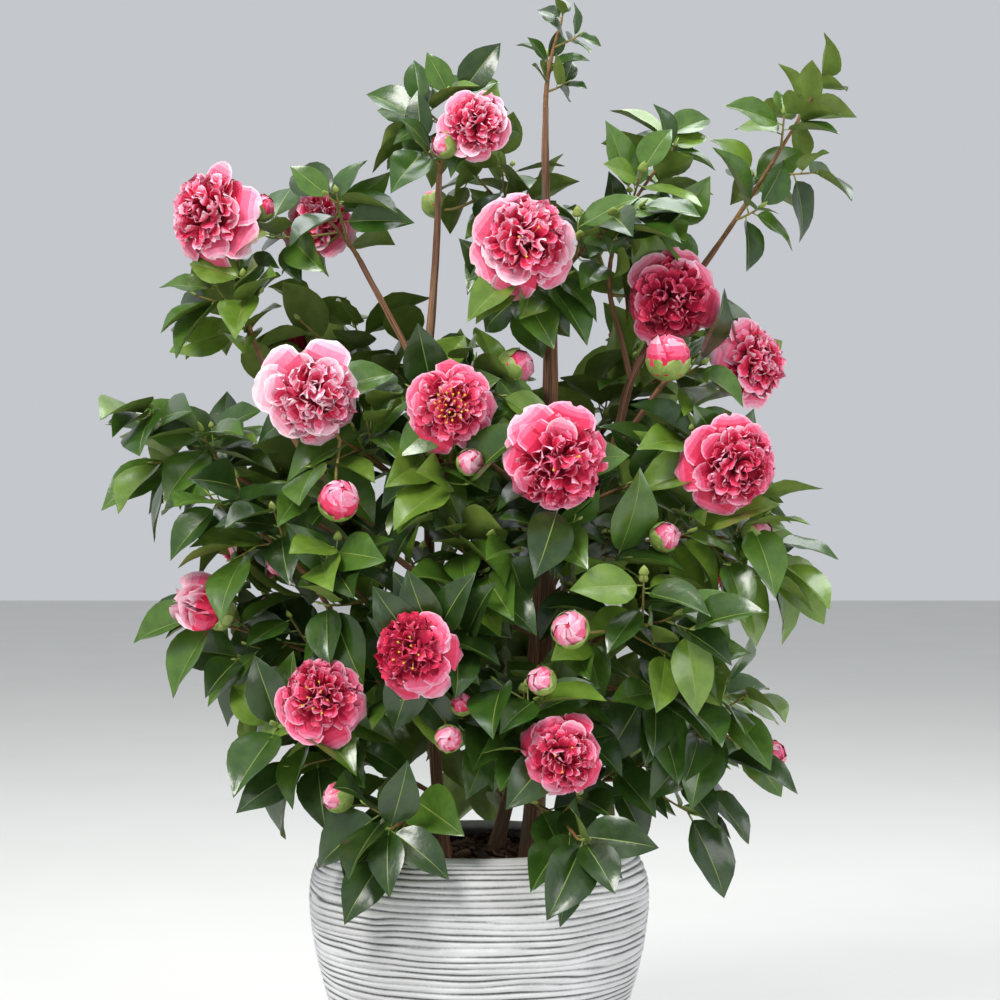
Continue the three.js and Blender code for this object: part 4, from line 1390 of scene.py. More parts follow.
def ruffled_petal(name, waves, phase, depth, fold, bend):
    def lift(along, side):
        ruffle = depth * math.sin(waves * side + phase) * along ** 2
        return ruffle + fold * side * side * along

    def rim(side):
        return 0.05 * side * side + 0.03 * math.sin(5 * side + phase)

    bend = (RUFFLES_BEND_FROM, bend)
    return petal_shape(name, RUFFLE_ROWS, RUFFLE_ACROSS, RUFFLE_HALVES, RUFFLE_PARTS, (1,), bend, lift, rim)


ruffled_shapes = [
    ruffled_petal("ruffle_waved", 2.9, 0.3, 0.06, 0.06, 66),
    ruffled_petal("ruffle_folded", 2.0, 1.6, 0.05, 0.16, 34),
    ruffled_petal("ruffle_curled", 2.7, 2.4, 0.05, 0.08, -50),
    ruffled_petal("ruffle_spoon", 1.6, 4.0, 0.04, 0.18, -12),
    ruffled_petal("ruffle_rolled", 2.6, 5.2, 0.06, -0.05, 96),
    ruffled_petal("ruffle_wide", 2.2, 0.9, 0.06, 0.10, 50),
]
petal_shapes = guard_shapes + ruffled_shapes
petal_finishes = list(enumerate(petal_pinks))
FIRST_RUFFLE = len(guard_shapes)

# A bloom, as shares of its width: rings of broad petals, with how many, their lean from the
# bloom's axis in degrees, their reach and their breadth, and then the dome of ruffled petals
BROAD_RINGS = [(7, 86, 0.49, 0.42), (6, 70, 0.41, 0.32)]
BROAD = {
    "turn_waver": 0.45, "tilt_waver": 12, "unrest": 0.24, "leans_short": 0.35,
    "reach": (0.86, 1.05), "breadth": (0.88, 1.12), "paler_over": 0.75, "root": 0.03,
}
DOME = {
    "petals": 150, "full_from": 0.1, "fewer": 1.2, "opening": 82, "turn_waver": 14, "roll": 58,
    "length": 0.43, "reach": (0.84, 1.04), "width": 0.135, "breadth": (0.75, 1.2),
    "deeper_under": 0.3, "paler_over": 0.8, "root": 0.06,
}
STAMEN = {"behind": 0.08, "apart": 2 * MM, "splay": 26, "reach": (0.36, 0.42), "width": 2.6 * MM}
SEPAL = {
    "count": 6, "behind": 0.2, "tilt": 68, "tilt_waver": 10, "turn_waver": 20,
    "long": 17 * MM, "wide": 15 * MM,
}


def petal_base(flower):
    return flower.at - flower.ahead * (flower.base * flower.width)


def broad_petals(flower, draw, rings, tone, lean_turn, lean, cupped=False):
    """The rings of broad petals. They are shorter on the side that the dome leans over."""
    base = petal_base(flower)
    made = []
    for count, tilt, reach, breadth in rings:
        start = 360 * draw()
        for i in range(count):
            turn = start + 360 / count * (i + BROAD["turn_waver"] * (draw() - 0.5))
            angle = math.radians(tilt + BROAD["tilt_waver"] * (draw() - 0.5))
            radial = sideways(flower.ahead, turn)
            along = tilted(flower.ahead, radial, angle)
            face = flower.ahead * math.sin(angle) - radial * math.cos(angle)
            face = square_to(face + sideways(along, 360 * draw()) * BROAD["unrest"], along)
            away = 1 - lean * BROAD["leans_short"] * math.cos(math.radians(turn - lean_turn))
            share = min(BROAD["reach"][1], between(BROAD["reach"], draw()) * away)
            length = flower.width * reach * share
            width = flower.width * breadth * between(BROAD["breadth"], draw())
            shade = tone + (1 if draw() > BROAD["paler_over"] else 0)
            shape = OPEN_GUARDS if cupped else int(draw() * OPEN_GUARDS)
            root = base + radial * (BROAD["root"] * flower.width)
            made.append(Placed(root, along, face, length, width, shape=shape, tone=shade))
    return made


def dome_petals(flower, draw, tone, lean_turn, lean, opening=1.0):
    """The dome of ruffled petals, set in a spiral from its top to its edge."""
    base = petal_base(flower)
    leaning = sideways(flower.ahead, lean_turn) * lean
    count = int(DOME["petals"] * min(1, flower.width / DOME["full_from"]) ** DOME["fewer"])
    cap = 1 - math.cos(math.radians(DOME["opening"] * opening))
    made = []
    for i in range(count):
        angle = math.acos(1 - (i + 0.5) / count * cap)
        radial = sideways(flower.ahead, GOLDEN_ANGLE * i + DOME["turn_waver"] * draw())
        along = tilted(flower.ahead, radial, angle)
        along = (along + leaning * (0.5 + 0.5 * math.sin(angle))).normalized()
        inner = flower.ahead - along * flower.ahead.dot(along)
        inner = inner.normalized() if inner.length > 0.2 else sideways(along, 360 * draw())
        roll = math.radians(DOME["roll"] * (2 * draw() - 1))
        face = tilted(inner, along.cross(inner), roll)
        length = flower.width * DOME["length"] * between(DOME["reach"], draw())
        width = flower.width * DOME["width"] * between(DOME["breadth"], draw())
        deeper = 1 if draw() < DOME["deeper_under"] else 0
        shade = tone - deeper + (1 if draw() > DOME["paler_over"] else 0)
        start = DOME["root"] * flower.width
        made.append(Placed(base + along * start, along, face, length - start, width,
                           shape=FIRST_RUFFLE + int(draw() * len(ruffled_shapes)), tone=shade))
    return made


petals = []
stamens = []
sepals = []
for i, bloom in enumerate(blooms):
    draw = draws(FIRST_SEED * 3 + SEED_STEP * i)
    tone, lean_turn, lean, stamen_count = bloom.look
    petals += broad_petals(bloom, draw, BROAD_RINGS, max(tone, 0), lean_turn, lean)
    petals += dome_petals(bloom, draw, tone, lean_turn, lean)
    centre = bloom.at - bloom.ahead * (STAMEN["behind"] * bloom.width)
    for k in range(stamen_count):
        angle = math.radians(STAMEN["splay"] * math.sqrt((k + 0.5) / stamen_count))
        radial = sideways(bloom.ahead, GOLDEN_ANGLE * k)
        along = tilted(bloom.ahead, radial, angle)
        face = square_to(UP + radial * 0.1, along)
        length = bloom.width * between(STAMEN["reach"], draw())
        start = centre + radial * STAMEN["apart"]
        stamens.append(Placed(start, along, face, length, STAMEN["width"]))
    root = bloom.at - bloom.ahead * (SEPAL["behind"] * bloom.width)
    for k in range(SEPAL["count"]):
        angle = math.radians(SEPAL["tilt"] + SEPAL["tilt_waver"] * draw())
        radial = sideways(bloom.ahead, 360 / SEPAL["count"] * k + SEPAL["turn_waver"] * draw())
        face = bloom.ahead * math.sin(angle) - radial * math.cos(angle)
        along = tilted(bloom.ahead, radial, angle)
        sepals.append(Placed(root, along, face, SEPAL["long"], SEPAL["wide"]))


# Buds: scales and petals that wrap an egg round its axis, one pole to the other. Each is widest up
# to a row, and narrows to its tip
WRAP_ACROSS = (-1, -0.6, -0.2, 0.2, 0.6, 1)
WRAP_STEPS = 5
NARROWS = {"from": 0.35, "power": 2.4, "least": 0.25, "tip": 0.12}
EGG_POWER = 0.85
EDGES_FORWARD = 0.02


def wrap_shape(name, low, high, half_turn, parts, flare=0.0, wind=0):
    """A scale that wraps an egg one long and one wide, from one share of its height to another."""
    wide = len(WRAP_ACROSS)
    places, faces, tones = [], [], []
    for row in steadily(0, 1, WRAP_STEPS):
        polar = math.pi * between((low, high), row)
        past = max(0, row - NARROWS["from"]) / (1 - NARROWS["from"])
        narrow = math.sqrt(max(0.0, 1 - past ** NARROWS["power"]))
        share = between((NARROWS["least"], 1), narrow) if row < 1 else NARROWS["tip"]
        swell = 0.5 * math.sin(polar) ** EGG_POWER * (1 + flare * row ** 3)
        for side in WRAP_ACROSS:
            turn = math.radians(half_turn * side * share + wind * row * row)
            along = 0.5 - 0.5 * math.cos(polar) + EDGES_FORWARD * side * side
            places.append((swell * math.sin(turn), along, -swell * math.cos(turn)))
    for i in range(WRAP_STEPS):
        for k in range(wide - 1):
            a = i * wide + k
            faces.append([a, a + wide, a + wide + 1, a + 1])
            tones.append(parts[i] + (1 if k in (0, wide - 2) and i > 1 else 0))
    return shape_mesh(name, places, faces, tones)


def core_shape(name, part):
    """The closed egg under the scales or petals of a bud."""
    rows, sides = (0.2, 0.4, 0.6, 0.8), 8
    places = [(0, 0.03, 0)]
    for row in rows:
        swell = 0.44 * math.sin(math.pi * row)
        places += around_length(swell, 0.5 - 0.47 * math.cos(math.pi * row), sides)
    places.append((0, 0.97, 0))
    starts = [1 + sides * i for i in range(len(rows))]
    faces = [[0, a, b] for a, b in ring_pairs(starts[0], sides)]
    for start in starts[:-1]:
        faces += band(start, sides)
    faces += [[len(places) - 1, b, a] for a, b in ring_pairs(starts[-1], sides)]
    return shape_mesh(name, places, faces, [part] * len(faces))


ALL_GREEN = (0, 0, 0, 0, 0)
scale_core = core_shape("scale_core", 0)
petal_core = core_shape("petal_core", 1)
scale_shapes = [
    wrap_shape("scale_short", 0.02, 0.50, 62, ALL_GREEN),
    wrap_shape("scale_long", 0.05, 0.66, 60, ALL_GREEN),
    wrap_shape("scale_whole", 0.08, 0.95, 64, ALL_GREEN),
    scale_core,
]
wrap_shapes = [
    wrap_shape("wrap_petal", 0.10, 0.97, 62, (1, 2, 2, 3, 4), wind=70),
    wrap_shape("wrap_open", 0.10, 0.88, 56, (1, 1, 2, 3, 5), flare=0.12, wind=30),
    petal_core,
]
# How many scales and how many petals show on a bud
BUD_STAGES = {"green": (14, 0), "pink": (9, 7), "red": (4, 8), "bursting": (8, 9), "opening": (0, 0)}
green_scales = [
    mottled("bud_green", "7d9644", "94aa56", 0.5, 160.0, (300.0, 0.3 * MM)),
    mottled("bud_pale_green", "9fb262", "b4c47a", 0.5, 160.0, (300.0, 0.3 * MM)),
]
bud_petals = []
BUD_LONG = 1.15
BUD_CORE = 0.94
PETAL_REACH = (0.94, 1)
PETAL_GIRTH = (0.86, 0.95)
SCALE_GIRTH = (1.04, 1.12)
# The bud that opens: two rings of cupped petals, as in BROAD_RINGS, a small dome, and its sepals
OPENING_RINGS = [(6, 48, 1.34, 0.8), (5, 36, 1.2, 0.7)]
OPENING = {"base": 0.42, "dome": 0.25, "sepals": 7, "foot": 0.4, "long": 0.6, "wide": 0.72}


def wrapped(bud, turn, reach, girth, shape, tone=0):
    """A scale or petal on the bud's egg, from the pole at its stalk."""
    long = bud.width * BUD_LONG
    root = bud.at - bud.ahead * (long / 2)
    face = sideways(bud.ahead, turn)
    return Placed(root, bud.ahead, face, long * reach, bud.width * girth, shape=shape, tone=tone)


for i, bud in enumerate(buds):
    draw = draws(FIRST_SEED * 5 + SEED_STEP * i)
    stage = bud.look[0]
    scales, rosy = BUD_STAGES[stage]
    if stage == "opening":
        cup = replace(bud, base=OPENING["base"])
        petals += broad_petals(cup, draw, OPENING_RINGS, 1, 0, 0, True)
        petals += dome_petals(cup, draw, -1, 0, 0, OPENING["dome"])
        foot = bud.at - bud.ahead * (OPENING["foot"] * bud.width)
        long, wide = OPENING["long"] * bud.width, OPENING["wide"] * bud.width
        for k in range(OPENING["sepals"]):
            face = sideways(bud.ahead, GOLDEN_ANGLE * k)
            sepals.append(Placed(foot, bud.ahead, face, long, wide))
    elif stage == "green":
        sepals.append(wrapped(bud, 0, 1, BUD_CORE, scale_shapes.index(scale_core)))
    else:
        bud_petals.append(wrapped(bud, 0, 1, BUD_CORE, wrap_shapes.index(petal_core)))
    for k in range(rosy):
        redder = -1 if stage in ("red", "bursting") else 0
        shape = 1 if stage == "bursting" and k % 2 else 0
        reach, girth = between(PETAL_REACH, draw()), between(PETAL_GIRTH, draw())
        tone = redder + int(2 * draw())
        bud_petals.append(wrapped(bud, GOLDEN_ANGLE * k, reach, girth, shape, tone))
    for k in range(scales):
        shape = {"green": 2 if k > 6 else 1, "bursting": 0}.get(stage, k % 2)
        sepals.append(wrapped(bud, GOLDEN_ANGLE * k + 20, 1, between(SCALE_GIRTH, draw()), shape))


# Small things at the ends of twigs, on the stamens and on the soil
def spindle_shape(name):
    """A slender pointed leaf bud, one long and one wide."""
    places = around_length(0.34, 0.0, 6) + around_length(0.5, 0.25, 6) + around_length(0.36, 0.6, 6)
    tip = len(places)
    places.append((0, 1, 0))
    faces = band(0, 6) + band(6, 6) + [[a, tip, b] for a, b in ring_pairs(12, 6)]
    faces.append([0, 1, 2, 3, 4, 5])
    return shape_mesh(name, places, faces, [0] * len(faces))


def stamen_shape(name):
    """A thin filament with a grain of pollen on its tip, one long and one wide."""
    places = []
    for along, half in ((0, 0.12), (0.93, 0.09), (0.9, 0.3), (0.96, 0.5), (1.0, 0.22)):
        for k in range(4):
            angle = math.radians(90 * k)
            places.append((half * math.cos(angle), along, half * math.cos(angle + math.pi / 2) * 0.07))
    faces = band(0, 4) + band(8, 4) + band(12, 4) + [[8, 9, 10, 11], [19, 18, 17, 16]]
    return shape_mesh(name, places, faces, [0] * 4 + [1] * 10, smooth=False)


def chip_shape(name, seed):
    """A flake of bark: a bent, broken slab."""
    draw = draws(seed)
    rim = [(x * between((0.7, 1.1), draw()), y * between((0.7, 1.1), draw()))
           for x, _, y in around_length(0.5, 0, 6)]
    places = [(x, y, level + 0.1 * draw()) for level in (-0.09, 0.03) for x, y in rim]
    low, high = len(places), len(places) + 1
    places += [(0, 0, -0.12), (0.05, 0, 0.16)]
    faces = [[a, b, b + 6, a + 6] for a, b in ring_pairs(0, 6)]
    faces += [[b, a, low] for a, b in ring_pairs(0, 6)]
    faces += [[a, b, high] for a, b in ring_pairs(6, 6)]
    return shape_mesh(name, places, faces, [0] * len(faces), smooth=False)


# Limbs with their bark
LIMB_SIDES = 18
LIMB_STEP = 3 * MM
RIDGE = 0.45 * MM
KNOT = 0.7 * MM


def bark_tree():
    """Sweeps a limb along its line, and raises ridges and knots on it."""
    tree = Growth("Bark limbs", Sides=LIMB_SIDES, Ridge=RIDGE, Knot=KNOT)
    tree.then("GeometryNodeMeshToCurve", into="Mesh")
    tree.store("along", tree.node("GeometryNodeSplineParameter").outputs["Length"])
    around = tree.node("GeometryNodeSplineParameter").outputs["Factor"]
    profile = tree.node("GeometryNodeStoreNamedAttribute", {"data_type": "FLOAT", "domain": "POINT"},
                        {"Geometry": tree.circle(), "Name": "around", "Value": around})
    tree.swept(profile.outputs[0])
    angle = Sum(tree, tree.named("around")) * (2 * math.pi)
    seed = Sum(tree, tree.named("seed"))
    along = Sum(tree, tree.named("along"))
    way = tree.vector(angle.cosine() + seed, angle.sine(), along * 9)
    tree.store("bark_way", way, "FLOAT_VECTOR")
    ridges = tree.noise(way, 2.6, 3.0, 0.6) - 0.5
    knots = tree.noise(tree.vector(angle.cosine(), angle.sine() + seed, along * 34), 0.8, 1.0) - 0.5
    rise = ridges * 2 * tree.given("Ridge") + knots * 2 * tree.given("Knot")
    tree.pushed(rise)
    tree.smooth()
    tree.finished([(0, bark)])
    return tree


bark = Finish("bark_brown", tint("7a5640"), 0.75, specular_ior_level=0.3)
bark_way = bark.attribute("bark_way", "Vector")
streaks = bark.noise(bark.stretched(bark_way, 1, 1, 0.35), 4.5, 4.0, 0.65)
patches = bark.noise(bark_way, 0.9, 2.0)
wood = bark.mixed(streaks.smoothly(0.38, 0.66), tint("63463a"), tint("b0805e"))
bark.color(bark.mixed(patches.smoothly(0.52, 0.72), wood, tint("8d7f6c")))
bark.rough(0.62 + streaks * 0.3)
bark.bumps(bark.noise(bark.stretched(bark_way, 1, 1, 0.5), 9.0, 4.0, 0.7), 0.5, 0.6 * MM)

LIMB_GROUPS = {
    "leader_limbs": ["leader_stem", "right_bough", "right_arm_bough", "high_right_bough",
                     "right_mid_bough", "low_right_bough"],
    "left_limbs": ["left_stem", "upper_left_bough", "left_high_bough", "left_arm_bough",
                   "left_low_bough"],
    "back_limbs": ["back_stem", "back_left_bough", "back_right_bough"],
}
# Each member of a group has its own number in the bark's noise, so that no two look alike
SEED_APART = 7.3
SPAN_STEPS = 40


def limb_line(limb, seed):
    places = [limb.path.at(share) for share in steadily(0, 1, SPAN_STEPS)]
    span = sum((a - b).length for a, b in zip(places, places[1:]))
    shares = steadily(0, 1, int(span / LIMB_STEP))
    return [limb.path.at(share) for share in shares], [limb.radius_at(share) for share in shares], seed


bark_growth = bark_tree()
for group, members in LIMB_GROUPS.items():
    lines = [limb_line(limbs[member], SEED_APART * k) for k, member in enumerate(members)]
    source = lines_mesh(group, lines, "seed", "FLOAT")
    settled(bark_growth.grow(group, source, kept=("bark_way",)), "bark", *members)

# Stems, twigs, shoots and stalks, each a little knobbly
TUBE_SIDES = 7
TUBE_STEPS = 8
STEM_STEPS = 14
SHOOT_STEPS = 6
STEM_END = 0.85
KNOBBLY = 0.05
BROWN, OLIVE, GREEN = 0, 1, 2


def line_of(path, thick, thin, tone, steps=TUBE_STEPS, end=1):
    shares = steadily(0, end, steps)
    radii = [between((thick, thin), share) / 2 * (1 + KNOBBLY * (-1) ** k)
             for k, share in enumerate(shares)]
    return [path.at(share) for share in shares], radii, tone


stem_thin = STEM["thin"] * STEM_END
lines = [line_of(mass.stem, STEM["thick"], stem_thin, BROWN, STEM_STEPS, mass.ends)
         for mass in masses.values()]
lines += [line_of(twig.path, twig.thick, twig.thin, OLIVE)
          for mass in masses.values() for twig in mass.twigs]
lines += [line_of(shoot.path, shoot.thick, shoot.thin, GREEN, SHOOT_STEPS)
          for made in shoots.values() for shoot in made]
lines += [line_of(flower.stalk, STALK["thick"], STALK["thin"], OLIVE) for flower in blooms + buds]
twig_finishes = [(BROWN, twig_brown), (OLIVE, twig_olive), (GREEN, shoot_green)]
tubes("twigs", lines, TUBE_SIDES, twig_finishes, "bark")

# Leaves, in a front and a back piece, and leaf buds at the ends of the twigs
FRONT_UNTIL = 40 * MM
LEAF_BUD = {"length": (7, 14), "width": 2.9 * MM, "at": 0.985, "upward": 0.2}


def front_and_back(placed):
    """The things placed in the front half and those placed in the back half."""
    return [[thing for thing in placed if (thing.root.y < FRONT_UNTIL) == front]
            for front in (True, False)]


front_leaves, back_leaves = front_and_back(leaves)
front_masses = ["foliage_" + name for name in masses if not name.startswith("back")]
back_masses = ["foliage_" + name for name in masses if name.startswith("back")]
scattered("leaves_front", front_leaves, leaf_shapes, leaf_finishes, "leaf", *front_masses)
scattered("leaves_back", back_leaves, leaf_shapes, leaf_finishes, "leaf", *back_masses)

tips = []
for mass in masses.values():
    for twig in mass.twigs + shoots[mass.name]:
        along = (twig.path.ahead(1) + UP * LEAF_BUD["upward"]).normalized()
        length = between(LEAF_BUD["length"], mass.finer()) * MM
        root = twig.path.at(LEAF_BUD["at"])
        tips.append(Placed(root, along, sideways(along, 0), length, LEAF_BUD["width"]))
scattered("leaf_buds", tips, [spindle_shape("spindle")], [(0, shoot_green)], "leaf")

# Blooms and buds
front_petals, back_petals = front_and_back(petals)
scattered("petals_front", front_petals, petal_shapes, petal_finishes, "petal")
scattered("petals_back", back_petals, petal_shapes, petal_finishes, "petal")
scattered("bud_petals", bud_petals, wrap_shapes, petal_finishes, "petal")
scattered("bud_scales", sepals, scale_shapes, list(enumerate(green_scales)), "leaf")
scattered("stamens", stamens, [stamen_shape("stamen")], [(0, filament), (1, pollen)], "petal")

# Pot: a turned wall with combed ribs
RIB_PITCH = 6.7 * MM
RIB_DEPTH = 1.7 * MM
WALL_ROWS = 372
WALL_STEPS = 900
AROUND = 244
# The ribs fade in over the first rows, and out on the shoulder, by the distance from the mouth
RIBS_FADE_IN = 6
SHOULDER_FROM = 0.25
RIBS_END = 8 * MM
RIBS_FADE_OUT = 10 * MM
MERGED = 0.00002


def climb_of(places):
    """How far along a profile each of its places is."""
    climbs = [0.0]
    for (r0, z0, *_), (r1, z1, *_) in zip(places, places[1:]):
        climbs.append(climbs[-1] + math.hypot(r1 - r0, z1 - z0))
    return climbs


def pot_profile():
    """Places up the outside, over the lip and down the inside, each with its share of the ribs."""
    low, mouth, top = pot_radius(0), POT["mouth"], POT["height"]
    places = [(0.0, 0.0, 0.0), (low * 0.55, 0.0, 0.0), (low - 4 * MM, 0.0, 0.0),
              (low - 1 * MM, 1 * MM, 0.0)]
    heights = [(pot_radius(z), z) for z in steadily(3 * MM, top - 0.3 * MM, WALL_STEPS)]
    spans = climb_of(heights)
    for k in range(WALL_ROWS):
        goal = spans[-1] * k / (WALL_ROWS - 1)
        r, z = heights[max(j for j in range(len(spans)) if spans[j] <= goal + 1e-12)]
        out = max(0, (r - mouth - RIBS_END) / RIBS_FADE_OUT) if z > SHOULDER_FROM else 1
        places.append((r, z, min(1, k / RIBS_FADE_IN) * min(1, out)))
    places += [(mouth - 2.2 * MM, top - 0.3 * MM, 0), (mouth - 4.2 * MM, top - 1.8 * MM, 0),
               (mouth - 5 * MM, top - 4.5 * MM, 0), (mouth - 4 * MM, top - 8 * MM, 0)]
    inside = [top - 2 * POT["lip"], 268 * MM, 255 * MM, *steadily(230 * MM, POT["floor"], 5)]
    places += [(pot_radius(z) - POT["wall"], z, 0) for z in inside]
    places += [(0.06, POT["floor"], 0), (0.0, POT["floor"], 0)]
    return places


# The wash on the pot: pale and cloudy, streaked round it, and dark in the grooves, partly from the pot's
# darker body under the wash and partly as painted shade in the hollows
glaze = Finish("pot_whitewash", tint("c9c9c5"), 0.85, specular_ior_level=0.25)
spot = glaze.place()
groove = Sum(glaze, glaze.attribute("groove", "Fac"))
grain = glaze.noise(spot, 260.0, 4.0, 0.7)
cloud = glaze.noise(glaze.stretched(spot, 1, 1, 2.4), 9.0, 3.0, 0.6)
streak = glaze.noise(glaze.stretched(spot, 1, 1, 9), 22.0, 4.0, 0.7)
wash = glaze.mixed(cloud.smoothly(0.35, 0.7), tint("cfcfd0"), tint("e8e8ea"))
wash = glaze.mixed(streak.smoothly(0.5, 0.75) * 0.4, wash, tint("a9aaa8"))
# The grey in the grooves is partly the darker body under the wash and partly painted shade
depth = (groove + (grain - 0.5) * 0.35).smoothly(0.3, 1.0)
glaze.color(glaze.mixed(depth, wash, tint("565759")))
glaze.rough(0.78 + groove * 0.15)
glaze.bumps(grain, 0.35, 0.7 * MM)

turning = Growth("Turned pot", Columns=AROUND + 1, Pitch=RIB_PITCH, Depth=RIB_DEPTH)
profile = pot_profile()
rows = len(profile)
profile_mesh = plain_mesh("pot_profile", [(r, 0, z) for r, z, _ in profile],
                          ribs=("FLOAT", "POINT", [fade for _, _, fade in profile]),
                          climb=("FLOAT", "POINT", climb_of(profile)))
profile_points = turning.geometry
grid_size = {"Size X": 1.0, "Size Y": 1.0, "Vertices X": turning.given("Columns"), "Vertices Y": rows}
grid = turning.node("GeometryNodeMeshGrid", None, grid_size)
turning.geometry = grid.outputs[0]
position = turning.node("GeometryNodeInputPosition").outputs[0]
split = turning.node("ShaderNodeSeparateXYZ", None, {0: position})
row = (Sum(turning, split.outputs["Y"]) + 0.5) * (rows - 1)
row = row.maths("ROUND", row)
angle = (Sum(turning, split.outputs["X"]) + 0.5) * (2 * math.pi)


def sampled(key, kind):
    """The value that the profile has in this row of the grid."""
    made = turning.node("GeometryNodeSampleIndex", {"data_type": kind, "domain": "POINT"},
                        {"Geometry": profile_points, "Value": key, "Index": row})
    return made.outputs[0]


turning.store("ribs", sampled(turning.named("ribs"), "FLOAT"))
turning.store("climb", sampled(turning.named("climb"), "FLOAT"))
ring_place = turning.node("ShaderNodeSeparateXYZ", None, {0: sampled(position, "FLOAT_VECTOR")})
radius = Sum(turning, ring_place.outputs["X"])
turned_place = turning.vector(radius * angle.cosine(), radius * angle.sine(), ring_place.outputs["Z"])
turning.then("GeometryNodeSetPosition", None, {"Position": turned_place})
turning.then("GeometryNodeMergeByDistance", None, {"Distance": MERGED})
here = turning.node("GeometryNodeInputPosition").outputs[0]
climb = Sum(turning, turning.named("climb"))
ribs = Sum(turning, turning.named("ribs"))
sway = turning.noise(turning.stretched(here, 1, 1, 3.0), 5.0, 1.0, 0.5) - 0.5
shiver = turning.noise(turning.stretched(here, 1, 1, 3.0), 16.0, 1.0, 0.5) - 0.5
forks = turning.noise(turning.stretched(here, 1, 1, 7.0), 5.0, 0.0).smoothly(0.42, 0.58)
# The phase of the ribs climbs the wall, sways and shivers round it, and forks here and there
phase = climb / turning.given("Pitch") + sway * 2.2 + shiver * 0.3 + forks * 0.5
crest = abs((phase * math.pi).sine()) ** 1.5
weight = turning.noise(turning.stretched(here, 1, 1, 14.0), 9.0, 1.0, 0.5).smoothly(0.34, 0.62)
hollow = (1 - crest) * (0.62 + weight * 0.38) * ribs
turning.store("groove", hollow)
pits = turning.noise(here, 160.0, 3.0, 0.6) - 0.5
lumps = turning.noise(here, 16.0, 2.0) - 0.5
rough_wall = pits * (0.3 * MM) + lumps * (1.2 * MM)
turning.pushed(rough_wall * ribs - hollow * turning.given("Depth"))
turning.smooth()
turning.finished([(0, glaze)])
settled(turning.grow("pot_body", profile_mesh, kept=("groove",)), "pot", "pot")

# Soil with flakes of bark on it
SOIL_GAP = 0.5 * MM
SOIL_FOOT = POT["floor"] + SOIL_GAP
SOIL_RADIUS = pot_radius(SOIL_LEVEL) - POT["wall"] - SOIL_GAP
SOIL_DOWN = 4 * MM
# Its unevenness: the height, how fine it is, and where in the noise it is taken
SOIL_WAVES = [(5 * MM, 38, 0), (2 * MM, 130, 3)]
SOIL_RINGS = 30
SOIL_SPOKES = 84
SOIL_STEPS_BELOW = 9
earth = Finish("soil_brown", tint("3d2c22"), 0.95, specular_ior_level=0.2)
earth_spot = earth.place()
crumbs = earth.noise(earth_spot, 180.0, 5.0, 0.7)
earth.color(earth.mixed(crumbs.smoothly(0.35, 0.65), tint("221812"), tint("56402f")))
earth.bumps(crumbs, 0.8, 2 * MM)


def soil_height(x, y):
    waves = [height * noise.noise((x * fine, y * fine, at)) for height, fine, at in SOIL_WAVES]
    return SOIL_LEVEL - SOIL_DOWN + sum(waves)


def soil_mesh():
    """The uneven top, in rings from the middle, and the bed below it inside the pot."""
    below = [(pot_radius(z) - POT["wall"] - SOIL_GAP, z)
             for z in steadily(SOIL_LEVEL - 12 * MM, SOIL_FOOT, SOIL_STEPS_BELOW)]
    rings = [(SOIL_RADIUS * i / SOIL_RINGS, None) for i in range(1, SOIL_RINGS + 1)] + below
    places = [(0, 0, soil_height(0, 0))]
    for away, z in rings:
        for k in range(SOIL_SPOKES):
            turn = 2 * math.pi * k / SOIL_SPOKES
            x, y = away * math.cos(turn), away * math.sin(turn)
            places.append((x, y, soil_height(x, y) if z is None else z))
    places.append((0, 0, SOIL_FOOT))
    starts = [1 + SOIL_SPOKES * i for i in range(len(rings))]
    faces = [[0, a, b] for a, b in ring_pairs(starts[0], SOIL_SPOKES)]
    for start in starts[:-1]:
        faces += band(start, SOIL_SPOKES)
    faces += [[b, a, len(places) - 1] for a, b in ring_pairs(starts[-1], SOIL_SPOKES)]
    mesh = plain_mesh("soil_bed", places, (), faces)
    mesh.shade_smooth()
    mesh.materials.append(earth.material)
    return mesh


settled(into_scene("soil_bed", soil_mesh()), "soil", "soil")

FLAKES = 900
FLAKES_FROM_WALL = 5 * MM
FLAKE = {"tilt": 1.3, "length": (7, 19), "raised": (0.5, 3), "width": (0.45, 0.9), "kinds": 3}
chips = []
draw = draws(FIRST_SEED * 7)
while len(chips) < FLAKES:
    away, turn = (SOIL_RADIUS - FLAKES_FROM_WALL) * math.sqrt(draw()), 2 * math.pi * draw()
    x, y = away * math.cos(turn), away * math.sin(turn)
    face = (UP + Vector((draw() - 0.5, draw() - 0.5, 0)) * FLAKE["tilt"]).normalized()
    along = sideways(face, 360 * draw())
    length = between(FLAKE["length"], draw() ** 2) * MM
    place = Vector((x, y, soil_height(x, y) + between(FLAKE["raised"], draw()) * MM))
    width = length * between(FLAKE["width"], draw())
    shape, tone = int(FLAKE["kinds"] * draw()), int(FLAKE["kinds"] * draw())
    chips.append(Placed(place, along, face, length, width, shape=shape, tone=tone))
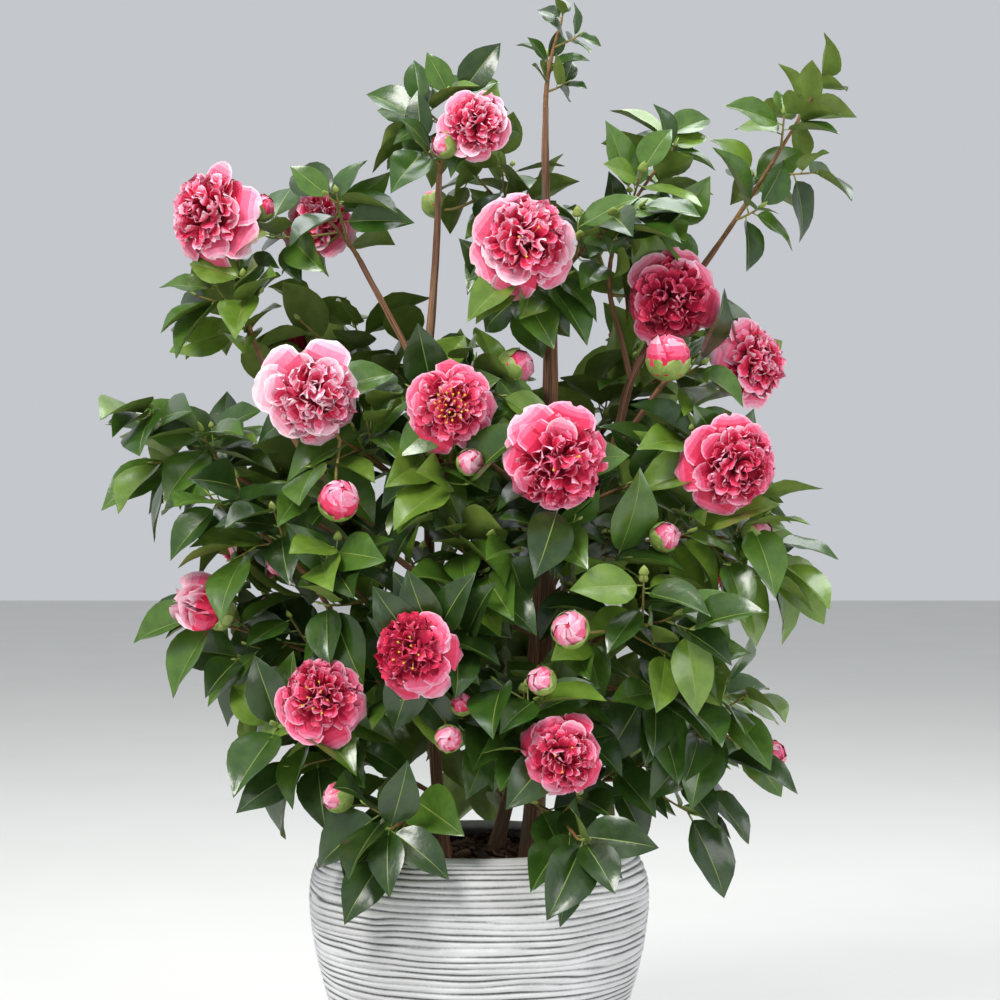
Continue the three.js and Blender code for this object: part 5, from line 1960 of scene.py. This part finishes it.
chip_finishes = [(0, Finish("flake_dark", tint("3a2a20"), 0.9)),
                 (1, Finish("flake_brown", tint("5c4130"), 0.85)),
                 (2, Finish("flake_tan", tint("80604a"), 0.85))]
chip_shapes = [chip_shape(f"flake_{k}", 31 + 17 * k) for k in range(FLAKE["kinds"])]
scattered("bark_flakes", chips, chip_shapes, chip_finishes, "soil")

# Camera, light and floor
CAMERA_AT = (22 * MM, -2745 * MM, 708 * MM)
CAMERA_DOWN = 1.234
FOCAL = 93.6
SENSOR = 36
MIDDLE = (0, 0, 0.6)

camera_data = bpy.data.cameras.new("camera")
camera_data.lens = FOCAL
camera_data.sensor_width = SENSOR
camera = into_scene("camera", camera_data)
camera.location = CAMERA_AT
camera.rotation_euler = (math.radians(90 - CAMERA_DOWN), 0, 0)
bpy.context.scene.camera = camera
bpy.context.scene.view_settings.view_transform = "Standard"


def area_light(name, place, size, power, color):
    """A round lamp that shines at the middle of the plant."""
    data = bpy.data.lights.new(name, "AREA")
    data.shape = "DISK"
    data.size = size
    data.energy = power
    data.color = color
    light = into_scene(name, data)
    light.location = place
    light.rotation_euler = (Vector(MIDDLE) - Vector(place)).to_track_quat("-Z", "Y").to_euler()


area_light("key_light", (-1.6, -2.2, 3.2), 1.4, 105, (1, 0.98, 0.94))
area_light("sky_light", (0.6, 0.6, 3.6), 2.6, 95, (0.95, 0.98, 1))
area_light("fill_light", (2.6, -2.0, 1.4), 1.8, 25, (1, 1, 1))

world = bpy.data.worlds.new("studio")
world.use_nodes = True
background = world.node_tree.nodes["Background"]
background.inputs["Color"].default_value = (0.92, 0.95, 1, 1)
background.inputs["Strength"].default_value = 0.6
bpy.context.scene.world = world

floor_mesh = plain_mesh("floor", [(-9, -9, 0), (9, -9, 0), (9, 9, 0), (-9, 9, 0)], (), [[0, 1, 2, 3]])
floor = into_scene("floor", floor_mesh)
floor_finish = Finish("floor_pale", tint("d8d8d4"), 0.8, specular_ior_level=0.2)
clouds = floor_finish.noise(floor_finish.place(), 3.0, 3.0)
floor_finish.color(floor_finish.mixed(clouds, tint("d4d4d0"), tint("dcdcd8")))
floor_mesh.materials.append(floor_finish.material)
